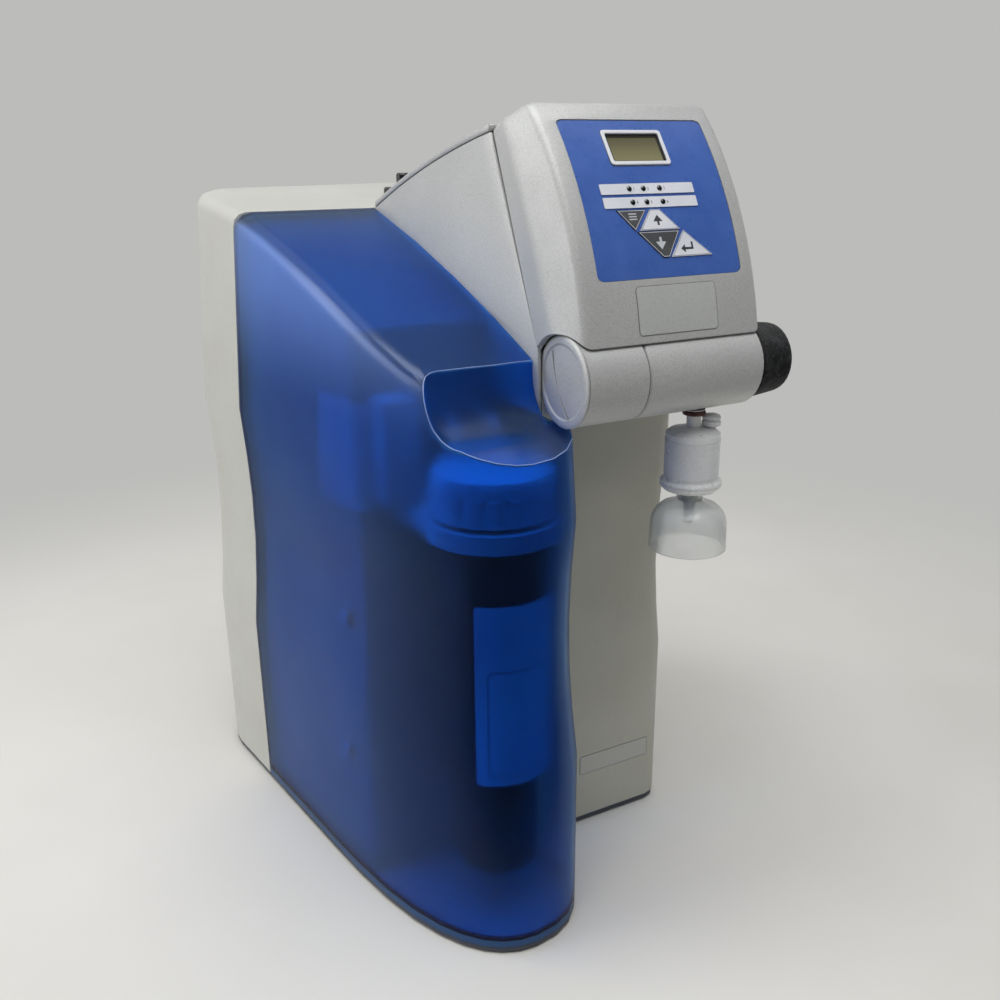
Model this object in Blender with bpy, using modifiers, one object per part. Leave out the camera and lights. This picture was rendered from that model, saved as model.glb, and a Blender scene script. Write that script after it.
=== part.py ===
"""Bench-top ultrapure water unit, built from its separate pieces, in metres with +Z up.

Places are written from the datum: the point at floor level where the line of the front panel's
face meets the line of the display face's right edge. X runs to the right, Y to the back. One empty
carries all the pieces and puts the middle of the footprint at the world's origin.

The hardest form is the side cover: a thin translucent moulding with a waist, a leaning wall, a
rounded ridge, a falling top and a finger scoop. It is an outer lofted form less an inner one, and
both are cut by the same scoop, the inner one by a scoop that is larger by the wall.
"""
import math

import bmesh
import bpy
from mathutils import Matrix, Vector

# Middle of the footprint to the datum
DATUM_X = 0.12725
DATUM_Y = -0.09775

# Clearances that every piece shares
GAP = 0.0003
WELD = 0.000001
TURN_WELD = 0.00001
OVERRUN = 0.004
SEAM_GROOVE = 0.0010

# Body in plan
SEAM_Y = 0.183
REAR_Y = 0.298
REAR_CORNER_RADIUS = 0.045
RIGHT_X = 0.009
LEFT_KNEE_X = -0.256
LEFT_KNEE_Y = 0.060
LEFT_TAPER_SLOPE = 0.147
NOSE_X = -0.170
NOSE_Y = -0.1025
NOSE_LEFT_PULL = 0.058
NOSE_KNEE_PULL = 0.068
NOSE_RIGHT_X = -0.118
NOSE_RIGHT_Y = -0.050
NOSE_FRONT_PULL = 0.030
NOSE_SIDE_PULL = 0.034
PANEL_Y = 0.0
PANEL_CORNER_RADIUS = 0.015

# Body in height
FOOT_HEIGHT = 0.0025
BASE_THICKNESS = 0.003
LOW_CREASE_Z = 0.1515
LOW_CREASE_DIP = 0.024
HIGH_CREASE_Z = 0.332
HIGH_CREASE_DIP = 0.035
WAIST_DEPTH = 0.005
HIGH_CREASE_LEAN = 0.003
UPPER_LEAN_SLOPE = 0.061
TOP_SEAM_Z = 0.4775
TOP_ARC_RADIUS = 1.358
TOP_SEAM_ANGLE = math.radians(15.1)
REAR_TOP_RISE = 0.018
RIDGE_RADIUS = 0.014
REAR_RIDGE_RADIUS = 0.010

# Body walls
COVER_WALL = 0.003
BAY_CLEARANCE = 0.006
HOUSING_WALL = 0.003
HOUSING_CORNER_RADIUS = 0.008
PANEL_DEPTH = 0.015
PANEL_TOP_Z = 0.3597

# Feet
FOOT_RADIUS = 0.011
FOOT_INSET = 0.032

# Finger scoop, round the dispensing arm's end
SCOOP_Y = -0.0765
SCOOP_Z = 0.3865
SCOOP_RADIUS = 0.0335
SCOOP_LEFT_X = -0.2195
SCOOP_END_RADIUS = 0.014
SCOOP_FLOOR_FALL = 0.010
COVER_RIM_Z = 0.3535

# Neck
NECK_LEFT_X = -0.140
NECK_LEFT_Y = -0.036
NECK_TAPER_SLOPE = 0.055
NECK_PLATE = 0.003
NECK_FRONT_Y = -0.0485
NECK_SEAM_LOW_Z = 0.402
NECK_SEAM_TOP_Y = 0.008
NECK_SEAM_TOP_Z = 0.5315
NECK_ARC_RADIUS = 0.953
NECK_REAR_ANGLE = math.radians(22.0)
NECK_REAR_Z = 0.477
NECK_SKIN = 0.0045
NECK_FLOOR_Z = 0.3603

# Display head
HEAD_LEFT_X = -0.140
HEAD_FACE_LEFT_X = -0.131
HEAD_FACE_RIGHT_X = 0.0
HEAD_TOP_Z = 0.5462
HEAD_BOTTOM_Z = 0.4045
HEAD_REAR_TOP_Z = 0.533
HEAD_WALL = 0.003
HEAD_EDGE_RADIUS = 0.004
FACE_RADIUS = 0.2563
FACE_FRONT_Y = -0.0941
FACE_CENTRE_Z = 0.3669
STEP_TOP_Y = -0.007
STEP_TOP_Z = 0.536
STEP_BOTTOM_Y = -0.070
STEP_BULGE = 0.003

# Keypad on the head's face: heights are read on the face
RECESS_DEPTH = 0.0013
MEMBRANE_THICKNESS = 0.0005
MEMBRANE_LEFT_X = -0.1178
MEMBRANE_RIGHT_X = -0.0107
MEMBRANE_LOW_Z = 0.4445
MEMBRANE_TOP_Z = 0.5350
MEMBRANE_CORNER = 0.004
DISPLAY_X = -0.0675
DISPLAY_Z = 0.5191
DISPLAY_WIDTH = 0.0445
DISPLAY_HEIGHT = 0.0250
DISPLAY_FRAME = 0.0025
DISPLAY_CORNER = 0.0022
DISPLAY_PROUD = 0.0003
WINDOW_THICKNESS = 0.0014
STRIP_X = -0.069
STRIP_WIDTH = 0.069
STRIP_HEIGHT = 0.0068
STRIP_THICKNESS = 0.0003
STRIP_CORNER = 0.0007
STRIP_UPPER_Z = 0.4953
STRIP_LOWER_Z = 0.4876
INDICATOR_RADIUS = 0.0012
INDICATOR_HEIGHT = 0.0006
INDICATOR_XS = (-0.0826, -0.0723, -0.0603)
KEY_UPPER_Z = 0.4775
KEY_LOWER_Z = 0.4634
KEY_UPPER_HEIGHT = 0.0128
KEY_LOWER_HEIGHT = 0.0160
KEY_THICKNESS = 0.0015
KEY_PROUD = 0.0003
KEY_TRAVEL = 0.0004
KEY_MENU_LEFT_X = -0.0956
KEY_MENU_TIP_X = -0.0852
KEY_MENU_RIGHT_X = -0.0748
KEY_UP_LEFT_X = -0.0818
KEY_UP_TOP_LEFT_X = -0.0715
KEY_UP_TOP_RIGHT_X = -0.0648
KEY_UP_RIGHT_X = -0.0525
KEY_DOWN_LEFT_X = -0.0838
KEY_DOWN_LOW_LEFT_X = -0.0684
KEY_DOWN_LOW_RIGHT_X = -0.0640
KEY_DOWN_RIGHT_X = -0.0535
KEY_ENTER_LEFT_X = -0.0622
KEY_ENTER_TIP_X = -0.0503
KEY_ENTER_RIGHT_X = -0.0317

# Dispensing arm under the head
ARM_Y = -0.0716
ARM_Z = 0.385
ARM_RADIUS = 0.028
ARM_LEFT_X = -0.1336
ARM_SEAM_X = -0.090
ARM_RIGHT_X = -0.001
ARM_EDGE = 0.0012
ARM_CLEARANCE = 0.0008
CAP_RADIUS = 0.0285
CAP_FACE_X = -0.1358
CAP_RIM = 0.006
CAP_DISH = 0.0009
CAP_SPIGOT_RADIUS = 0.012
CAP_SPIGOT_LENGTH = 0.010
SPINDLE_RADIUS = 0.005
SPINDLE_DEPTH = 0.030
SPINDLE_REACH = 0.010
SPINDLE_CLEARANCE = 0.0004
KNOB_RADIUS = 0.0254
KNOB_END_RADIUS = 0.0232
KNOB_LENGTH = 0.0275
KNOB_GROOVE = 0.0025
KNOB_EDGE = 0.0045

# Outlet and point-of-use filter: heights are drops below the arm's axis
OUTLET_X = -0.0336
NIPPLE_RADIUS = 0.0044
NIPPLE_COLLAR_RADIUS = 0.0072
NIPPLE_COLLAR_HEIGHT = 0.0008
NIPPLE_SEAT = 0.006
NIPPLE_BORE_RADIUS = 0.0014
NIPPLE_TIP_RADIUS = 0.0028
NIPPLE_TIP_DROP = 0.0395
O_RING_SECTION = 0.0016
FILTER_NECK_RADIUS = 0.0047
FILTER_SHOULDER_DROP = 0.0404
FILTER_SHOULDER_FALL = 0.0040
FILTER_BODY_RADIUS = 0.0181
FILTER_FLANGE_RADIUS = 0.0206
FILTER_FLANGE_TOP_DROP = 0.0773
FILTER_FLANGE_SEAM_DROP = 0.0792
FILTER_FLANGE_LOW_DROP = 0.0832
FILTER_SPOUT_RADIUS = 0.0055
FILTER_SPOUT_LOW_DROP = 0.0930
FILTER_STEM_RADIUS = 0.0037
FILTER_STEM_LOW_DROP = 0.1073
FILTER_WALL = 0.0015
VENT_CAP_RADIUS = 0.0064
VENT_CAP_HEIGHT = 0.0052
VENT_BOSS_RADIUS = 0.0034
VENT_OFFSET_X = 0.0110
VENT_OFFSET_Y = -0.0047
BELL_COLLAR_RADIUS = 0.0087
BELL_COLLAR_TOP_DROP = 0.0860
BELL_TOP_DROP = 0.0905
BELL_LOW_DROP = 0.1251
BELL_RADIUS = 0.0263
BELL_WALL = 0.0014
DISC_RADIUS = 0.0150
DISC_THICKNESS = 0.0006

# Polishing cartridge in the bay behind the cover's nose
CARTRIDGE_X = -0.172
CARTRIDGE_Y = -0.050
CARTRIDGE_RADIUS = 0.037
CARTRIDGE_LOW_Z = 0.120
CARTRIDGE_TOP_Z = 0.286
CARTRIDGE_NECK_RADIUS = 0.034
CARTRIDGE_NECK_TOP_Z = 0.306
CARTRIDGE_EDGE = 0.004
LOWER_END_RADIUS = 0.029
LOWER_END_Z = 0.046
LOWER_END_EDGE = 0.006
CAP_TOP_Z = 0.334
CAP_SKIRT_Z = 0.3045
CARTRIDGE_CAP_RADIUS = 0.0405
CARTRIDGE_CAP_EDGE = 0.006
CAP_RIBS = 18
CAP_RIB_DEPTH = 0.0014
CAP_RIB_Z = 0.322
BRACKET_LOW_Z = 0.289
BRACKET_TOP_Z = 0.301
BRACKET_RADIUS = 0.043
BRACKET_LEFT_X = -0.212
BRACKET_RIGHT_X = -0.134
PORT_OFFSET = 0.014
PORT_Y = -0.026
PORT_RADIUS = 0.0055
PORT_HEIGHT = 0.006
HOSE_RADIUS = 0.004
HOSE_RISE = 0.016
MANIFOLD_TOP_Z = 0.372
MANIFOLD_LEFT_X = -0.228
MANIFOLD_RIGHT_X = -0.202
MANIFOLD_FRONT_Y = -0.014
CATCH_WIDTH = 0.012
CATCH_HEIGHT = 0.010
CATCH_DEPTH = 0.003
CATCH_Y = 0.045
CATCH_UPPER_Z = 0.205
CATCH_LOWER_Z = 0.098

# Inner parts of the closed housings
TANK_LOW = (-0.252, 0.196)
TANK_HIGH = (-0.110, 0.268)
TANK_HEIGHT = 0.330
TANK_EDGE = 0.012
MODULE_X = -0.050
MODULE_Y = 0.225
MODULE_RADIUS = 0.030
MODULE_HEIGHT = 0.300
MODULE_CAP_RADIUS = 0.036
MODULE_CAP_HEIGHT = 0.030
PUMP_X = -0.175
PUMP_Y = 0.070
PUMP_RADIUS = 0.031
PUMP_HEIGHT = 0.120
PUMP_HEAD_RADIUS = 0.036
PUMP_HEAD_HEIGHT = 0.034
PUMP_PORT_RADIUS = 0.005
REACTOR_X = -0.075
REACTOR_Y = 0.100
REACTOR_RADIUS = 0.024
REACTOR_HEIGHT = 0.290
REACTOR_CAP_RADIUS = 0.030
REACTOR_CAP_HEIGHT = 0.022
BOARD_Y = 0.168
BOARD_THICKNESS = 0.0016
BOARD_LEFT_X = -0.225
BOARD_RIGHT_X = -0.110
BOARD_LOW_Z = 0.180
BOARD_HIGH_Z = 0.330
BOARD_CHIP = 0.024
BOARD_CHIP_HEIGHT = 0.004
DISPLAY_BOARD_THICKNESS = 0.0016

# Service recess at the back, and its fittings
RECESS_Y = 0.276
RECESS_LEFT_X = -0.205
RECESS_RIGHT_X = -0.035
RECESS_LOW_Z = 0.045
RECESS_TOP_Z = 0.100
RECESS_ROOM = 0.008
TOP_PLUG_RADIUS = 0.0055
TOP_PLUG_LEFT_X = -0.118
TOP_PLUG_LEFT_HEIGHT = 0.006
TOP_PLUG_RIGHT_X = -0.1065
TOP_PLUG_RIGHT_HEIGHT = 0.017
TOP_PLUG_Y = 0.232
CONNECTOR_RADIUS = 0.006
CONNECTOR_FLANGE_RADIUS = 0.011
CONNECTOR_FLANGE = 0.004
CONNECTOR_LENGTH = 0.019
CONNECTOR_BORE_RADIUS = 0.003
CONNECTOR_Z = 0.070
FEED_X = -0.060
DRAIN_X = -0.100
SOCKET_X = -0.180
SOCKET_WIDTH = 0.024
SOCKET_HEIGHT = 0.018
SOCKET_DEPTH = 0.009
SOCKET_BORE_RADIUS = 0.0035

# Shares that set how finely a curve is cut
WAIST_SHARES = (0.2, 0.4, 0.6, 0.8)
UPPER_SHARES = (0.5, 1.0)
RIDGE_SHARES = (0.3, 0.65, 1.0)
WALL_SHARES = (0.0, 0.34, 0.67)
BELL_SHARES = ((0.45, 0.045), (0.71, 0.13), (0.86, 0.23), (0.95, 0.36), (0.98, 0.51), (1.0, 1.0))
FILTER_SHOULDER_SHARES = ((0.5, 0.12), (0.85, 0.5), (1.0, 1.0))
NOSE_SHARES = (0.0, 0.16, 0.32, 0.46, 0.58, 0.68, 0.77, 0.85, 0.93, 1.0)
NOSE_RIGHT_SHARES = (0.2, 0.4, 0.6, 0.8, 1.0)
RIGHT_WALL_SHARES = (0.1, 0.22, 0.45, 0.7, 1.0)
CORNER_SHARES = (0.0, 0.34, 0.67, 1.0)
REAR_CORNER_SHARES = (0.0, 0.17, 0.33, 0.5, 0.67, 0.83, 1.0)
RING_SHARES = (0.0, 0.125, 0.25, 0.375, 0.5, 0.625, 0.75, 0.875)
SHEET_CORNER_SHARES = (0.0, 0.3, 0.65, 1.0)
FACE_STEPS = 12
SCOOP_STEPS = 8
SCOOP_END_SHARES = (0.0, 0.2, 0.4, 0.6, 0.8, 1.0)
ARC_STEPS = 12
TRUE_CORNER = 0.5
EDGE_SHARES = (0.0, 0.33, 0.67, 1.0)
BOARD_CHIP_SHARES = (0.25, 0.7)

BASE_TOP_Z = FOOT_HEIGHT + BASE_THICKNESS
FACE_CENTRE_Y = FACE_FRONT_Y + FACE_RADIUS
STAND_Z = BASE_TOP_Z + GAP
NIPPLE_TIP_Z = ARM_Z - NIPPLE_TIP_DROP
FILTER_SHOULDER_Z = ARM_Z - FILTER_SHOULDER_DROP
FILTER_FLANGE_TOP_Z = ARM_Z - FILTER_FLANGE_TOP_DROP
FILTER_FLANGE_SEAM_Z = ARM_Z - FILTER_FLANGE_SEAM_DROP
FILTER_FLANGE_LOW_Z = ARM_Z - FILTER_FLANGE_LOW_DROP
FILTER_SPOUT_LOW_Z = ARM_Z - FILTER_SPOUT_LOW_DROP
FILTER_STEM_LOW_Z = ARM_Z - FILTER_STEM_LOW_DROP
BELL_COLLAR_TOP_Z = ARM_Z - BELL_COLLAR_TOP_DROP
BELL_TOP_Z = ARM_Z - BELL_TOP_DROP
BELL_LOW_Z = ARM_Z - BELL_LOW_DROP


def blend(low, high, share):
    """The value at a share of the way from one value to another."""
    return low + (high - low) * share


def bezier(points, share):
    """A point of a cubic Bezier curve in plan."""
    rest = 1.0 - share
    weights = (rest ** 3, 3.0 * rest * rest * share, 3.0 * rest * share * share, share ** 3)
    x = sum(weight * point[0] for weight, point in zip(weights, points))
    y = sum(weight * point[1] for weight, point in zip(weights, points))
    return x, y


def left_wall_x(y):
    """The straight part of the left wall, which opens towards the back."""
    return LEFT_KNEE_X - LEFT_TAPER_SLOPE * (y - LEFT_KNEE_Y)


def neck_left_x(y):
    """The neck's left side, which opens towards the back as the body does."""
    return NECK_LEFT_X - NECK_TAPER_SLOPE * (y - NECK_LEFT_Y)


def forward_share(y):
    """0 at the seam and behind it, 1 at the nose."""
    return min(max((SEAM_Y - y) / (SEAM_Y - NOSE_Y), 0.0), 1.0)


def low_crease(y):
    """Height of the crease under the waist."""
    return LOW_CREASE_Z - LOW_CREASE_DIP * forward_share(y) ** 2


def high_crease(y):
    """Height of the crease over the waist."""
    return HIGH_CREASE_Z - HIGH_CREASE_DIP * forward_share(y)


def top_height(y):
    """The falling top of the cover: an arc that steepens towards the front."""
    sine = math.sin(TOP_SEAM_ANGLE) + (SEAM_Y - y) / TOP_ARC_RADIUS
    return TOP_SEAM_Z - TOP_ARC_RADIUS * (math.cos(TOP_SEAM_ANGLE) - math.sqrt(1.0 - sine * sine))


def rear_top_height(y):
    """The top of the rear housing, which goes on rising to the back."""
    return TOP_SEAM_Z + REAR_TOP_RISE * (y - SEAM_Y) / (REAR_Y - SEAM_Y)


def neck_height(y):
    """The arched top edge of the neck's sides."""
    sine = math.sin(NECK_REAR_ANGLE) - (SEAM_Y - y) / NECK_ARC_RADIUS
    return NECK_REAR_Z + NECK_ARC_RADIUS * (math.sqrt(1.0 - sine * sine) - math.cos(NECK_REAR_ANGLE))


def face_y(z, inset=0.0):
    """Depth of the display face at a height, or of a surface inside it."""
    radius = FACE_RADIUS - inset
    return FACE_CENTRE_Y - math.sqrt(radius ** 2 - (z - FACE_CENTRE_Z) ** 2)


def neck_seam_y(z):
    """Depth of the slanted joint line between the neck and the head."""
    share = (z - NECK_SEAM_LOW_Z) / (NECK_SEAM_TOP_Z - NECK_SEAM_LOW_Z)
    return blend(NECK_FRONT_Y, NECK_SEAM_TOP_Y, share)


def finish(name, colour, roughness, metallic=0.0, alpha=1.0):
    """A Principled material of one plain colour."""
    found = bpy.data.materials.get(name)
    if found:
        return found
    made = bpy.data.materials.new(name)
    made.use_nodes = True
    shader = made.node_tree.nodes["Principled BSDF"]
    shader.inputs["Base Color"].default_value = (*colour, 1.0)
    shader.inputs["Roughness"].default_value = roughness
    shader.inputs["Metallic"].default_value = metallic
    shader.inputs["Alpha"].default_value = alpha
    return made


def warm_grey():
    return finish("warm_grey_plastic", (0.66, 0.66, 0.62), 0.5)


def silver_grey():
    return finish("silver_grey_plastic", (0.58, 0.58, 0.56), 0.45)


def cobalt():
    return finish("translucent_cobalt", (0.02, 0.08, 0.55), 0.3, alpha=0.7)


def keypad_blue():
    return finish("keypad_blue", (0.07, 0.13, 0.36), 0.25)


def white_plastic():
    return finish("white_plastic", (0.8, 0.8, 0.8), 0.45)


def dark_plastic():
    return finish("dark_plastic", (0.03, 0.03, 0.035), 0.5)


def black_rubber():
    return finish("black_rubber", (0.02, 0.02, 0.02), 0.8)


def frosted_plastic():
    return finish("frosted_plastic", (0.75, 0.77, 0.78), 0.4, alpha=0.5)


def key_grey():
    return finish("key_grey", (0.12, 0.12, 0.13), 0.35)


def olive_glass():
    return finish("olive_display", (0.13, 0.13, 0.07), 0.15)


def red_rubber():
    return finish("red_rubber", (0.22, 0.05, 0.03), 0.6)


def steel():
    return finish("brushed_steel", (0.55, 0.56, 0.57), 0.3, metallic=1.0)


def board_green():
    return finish("board_green", (0.02, 0.16, 0.07), 0.45)


def clear_hose():
    return finish("clear_hose", (0.6, 0.62, 0.62), 0.3, alpha=0.7)


class Unit:
    """The collections and the empty that the pieces hang on."""

    def __init__(self):
        for old in list(bpy.data.objects):
            bpy.data.objects.remove(old, do_unlink=True)
        self.pieces = bpy.data.collections.new("ultrapure_water_system")
        self.tools = bpy.data.collections.new("cutters")
        for group in (self.pieces, self.tools):
            bpy.context.scene.collection.children.link(group)
        self.origin = bpy.data.objects.new("datum", None)
        self.origin.location = (DATUM_X, DATUM_Y, 0.0)
        self.pieces.objects.link(self.origin)

    def keep(self, name, mesh, material=None, place=None):
        """Add a mesh as a piece, or as a cutter when it has no material."""
        made = bpy.data.objects.new(name, mesh)
        made.parent = self.origin
        made.matrix_local = place or Matrix.Identity(4)
        if material is None:
            self.tools.objects.link(made)
            made.hide_render = True
            made.display_type = "WIRE"
        else:
            mesh.materials.append(material)
            self.pieces.objects.link(made)
        return made


UNIT = Unit()


def mesh_from(name, build):
    """A mesh filled by a function that works on a bmesh, with its faces turned out."""
    work = bmesh.new()
    build(work)
    bmesh.ops.recalc_face_normals(work, faces=work.faces)
    mesh = bpy.data.meshes.new(name)
    work.to_mesh(mesh)
    work.free()
    return mesh


def smooth(made, angle_degrees=32.0):
    """Round pieces are shaded smooth, with their true edges kept."""
    made.data.shade_smooth()
    made.data.set_sharp_from_angle(angle=math.radians(angle_degrees))
    return made


def box(name, low, high, material=None, edge=0.0, place=None):
    """A box between two corners, with its edges rounded when asked."""
    size = [top - bottom for bottom, top in zip(low, high)]
    middle = [0.5 * (bottom + top) for bottom, top in zip(low, high)]

    def build(work):
        scale = Matrix.Diagonal((*size, 1.0))
        bmesh.ops.create_cube(work, size=1.0, matrix=Matrix.Translation(middle) @ scale)

    made = UNIT.keep(name, mesh_from(name, build), material, place)
    if edge:
        bevel(made, edge)
    return made


def bevel(made, width, segments=2, angle_degrees=40.0):
    """Rounded edges."""
    step = made.modifiers.new("rounded", "BEVEL")
    step.width = width
    step.segments = segments
    step.limit_method = "ANGLE"
    step.angle_limit = math.radians(angle_degrees)
    step.use_clamp_overlap = True
    return made


def boolean(made, tool, operation):
    step = made.modifiers.new(operation.lower(), "BOOLEAN")
    step.operation = operation
    step.object = tool
    step.solver = "EXACT"
    return made


def cut(made, tool):
    return boolean(made, tool, "DIFFERENCE")


def join(made, tool):
    return boolean(made, tool, "UNION")


def axis_place(origin, axis):
    """A placement whose local Z lies along a world axis."""
    turn = Vector((0.0, 0.0, 1.0)).rotation_difference(Vector(axis)).to_matrix().to_4x4()
    return Matrix.Translation(Vector(origin)) @ turn


def turned(name, profile, origin, axis=(0.0, 0.0, 1.0), material=None, steps=32, closed=False):
    """A turned piece: its profile of radius and height runs down the outer side."""
    mesh = bpy.data.meshes.new(name)
    points = [(radius, 0.0, height) for radius, height in profile]
    edges = [(index, index + 1) for index in range(len(points) - 1)]
    if closed:
        edges.append((len(points) - 1, 0))
    mesh.from_pydata(points, edges, [])
    made = UNIT.keep(name, mesh, material, axis_place(origin, axis))
    step = made.modifiers.new("turn", "SCREW")
    step.axis = "Z"
    step.angle = 2.0 * math.pi
    step.steps = steps
    step.render_steps = steps
    step.use_merge_vertices = True
    step.merge_threshold = TURN_WELD
    step.use_smooth_shade = True
    return made


def rod(name, origin, axis, radius, length, material=None, steps=24, edge=0.0):
    """A round bar that starts at a point and runs along an axis."""
    profile = [(0.0, length), (radius - edge, length)]
    if edge:
        profile.append((radius, length - edge))
        profile.append((radius, edge))
    profile += [(radius - edge, 0.0), (0.0, 0.0)]
    return turned(name, profile, origin, axis, material, steps)


def sheet_mesh(name, outline, thickness, low=0.0):
    """The mesh of a flat outline in the XY plane, thickened upwards from a height."""
    curve = bpy.data.curves.new(name, "CURVE")
    curve.dimensions = "2D"
    curve.fill_mode = "BOTH"
    curve.extrude = 0.5 * thickness
    spline = curve.splines.new("POLY")
    spline.points.add(len(outline) - 1)
    for point, (x, y) in zip(spline.points, outline):
        point.co = (x, y, 0.0, 1.0)
    spline.use_cyclic_u = True
    mesh = curve_mesh(name, curve)
    mesh.transform(Matrix.Translation((0.0, 0.0, low + 0.5 * thickness)))
    return mesh


def sheet_solid(name, outline, thickness, material=None, place=None, low=0.0):
    """A piece made of one flat outline in its own XY plane."""
    return UNIT.keep(name, sheet_mesh(name, outline, thickness, low), material, place)


def curve_mesh(name, curve):
    """A curve made into a closed mesh with its caps welded on."""
    guide = bpy.data.objects.new(name + "_guide", curve)
    UNIT.tools.objects.link(guide)
    view = bpy.context.evaluated_depsgraph_get()
    view.update()
    mesh = bpy.data.meshes.new_from_object(guide.evaluated_get(view))
    bpy.data.objects.remove(guide, do_unlink=True)
    work = bmesh.new()
    work.from_mesh(mesh)
    bmesh.ops.remove_doubles(work, verts=work.verts, dist=WELD)
    bmesh.ops.recalc_face_normals(work, faces=work.faces)
    work.to_mesh(mesh)
    work.free()
    mesh.materials.clear()
    return mesh


def hose(name, route, radius, material, resolution=2):
    """A bent tube along a smooth curve through its points."""
    curve = bpy.data.curves.new(name, "CURVE")
    curve.dimensions = "3D"
    curve.bevel_depth = radius
    curve.bevel_resolution = resolution
    curve.use_fill_caps = True
    spline = curve.splines.new("POLY")
    points = rounded_route(route)
    spline.points.add(len(points) - 1)
    for point, place in zip(spline.points, points):
        point.co = (*place, 1.0)
    return smooth(UNIT.keep(name, curve_mesh(name, curve), material), 50.0)


def rounded_route(route, steps=5):
    """Each inner corner of a route becomes a quadratic curve between the middles of its runs."""
    corners = [Vector(place) for place in route]
    points = [corners[0]]
    for before, corner, after in zip(corners, corners[1:], corners[2:]):
        start = before.lerp(corner, 0.5)
        end = corner.lerp(after, 0.5)
        for index in range(steps + 1):
            share = index / steps
            points.append(start.lerp(corner, share).lerp(corner.lerp(end, share), share))
    points.append(corners[-1])
    return points


def across(low_x):
    """A placement that turns an outline of depth and height into a plate across X."""
    turn = Matrix(((0.0, 0.0, 1.0, 0.0), (1.0, 0.0, 0.0, 0.0), (0.0, 1.0, 0.0, 0.0), (0.0, 0.0, 0.0, 1.0)))
    return Matrix.Translation((low_x, 0.0, 0.0)) @ turn


def grown(outline, distance):
    """A closed outline moved out by a distance, or in by a negative one."""
    count = len(outline)
    area = sum(outline[i][0] * outline[(i + 1) % count][1] - outline[(i + 1) % count][0] * outline[i][1]
               for i in range(count))
    side = 1.0 if area > 0.0 else -1.0
    moved = []
    for index in range(count):
        before = Vector(outline[index - 1])
        here = Vector(outline[index])
        after = Vector(outline[(index + 1) % count])
        first = (here - before).normalized()
        second = (after - here).normalized()
        normal = Vector((first.y + second.y, -first.x - second.x)).normalized()
        reach = side * distance / max(normal.dot(Vector((first.y, -first.x))), 0.25)
        moved.append(tuple(here + normal * reach))
    return moved


def rounded_rectangle(width, height, corner, steps=3):
    """The outline of a rectangle with round corners, about its middle."""
    outline = []
    for quarter, (side_x, side_y) in enumerate(((1, 1), (-1, 1), (-1, -1), (1, -1))):
        middle_x = side_x * (0.5 * width - corner)
        middle_y = side_y * (0.5 * height - corner)
        for index in range(steps + 1):
            angle = (quarter + index / steps) * 0.5 * math.pi
            outline.append((middle_x + corner * math.cos(angle), middle_y + corner * math.sin(angle)))
    return outline


class PlanPoint:
    """A point of a body's outline, with how much of the lean and of the waist its wall takes."""

    def __init__(self, x, y, lean_share=1.0, waist_share=1.0):
        self.x = x
        self.y = y
        self.lean_share = lean_share
        self.waist_share = waist_share


def corner_place(here, first, second, before, after):
    """Where two walls that keep their own insets meet, at a true corner of an outline."""
    turn = first.x * second.y - first.y * second.x
    return (here.x + (before * second.x - after * first.x) / turn,
            here.y + (before * second.y - after * first.y) / turn)


def inset_places(outline, distances):
    """An open outline moved in by a distance at each point. Its two ends keep their depth."""
    places = []
    last = len(outline) - 1
    for index, (point, distance) in enumerate(zip(outline, distances)):
        before = outline[max(index - 1, 0)]
        after = outline[min(index + 1, last)]
        here = Vector((point.x, point.y))
        first = here - Vector((before.x, before.y))
        second = Vector((after.x, after.y)) - here
        if index in (0, last):
            run = second if index == 0 else first
            normal = Vector((-run.y, run.x)).normalized()
            places.append((point.x + distance / normal.x, point.y))
            continue
        first.normalize()
        second.normalize()
        if first.dot(second) < TRUE_CORNER:
            places.append(corner_place(here, first, second, distances[index - 1], distances[index + 1]))
            continue
        normal = Vector((-first.y - second.y, first.x + second.x)).normalized()
        reach = distance / max(normal.dot(Vector((-first.y, first.x))), 0.4)
        places.append((point.x + normal.x * reach, point.y + normal.y * reach))
    return places


def wall_steps(y, bottom_z, top_z, ridge):
    """Height, lean, waist and rounding of each row of a wall at one depth, from the bottom up."""
    low = low_crease(y)
    high = high_crease(y)
    steps = [(bottom_z, 0.0, 0.0, 0.0), (low, 0.0, 0.0, 0.0)]
    for share in WAIST_SHARES:
        waist = WAIST_DEPTH * math.sin(math.pi * share)
        steps.append((blend(low, high, share), HIGH_CREASE_LEAN * share, waist, 0.0))
    steps.append((high, HIGH_CREASE_LEAN, 0.0, 0.0))
    shoulder = top_z - ridge
    for share in UPPER_SHARES:
        z = blend(high, shoulder, share)
        steps.append((z, HIGH_CREASE_LEAN + UPPER_LEAN_SLOPE * (z - high), 0.0, 0.0))
    if ridge:
        lean = HIGH_CREASE_LEAN + UPPER_LEAN_SLOPE * (shoulder - high)
        for share in RIDGE_SHARES:
            angle = 0.5 * math.pi * share
            z = shoulder + ridge * math.sin(angle)
            steps.append((z, lean, 0.0, ridge * (1.0 - math.cos(angle))))
    return steps


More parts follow.
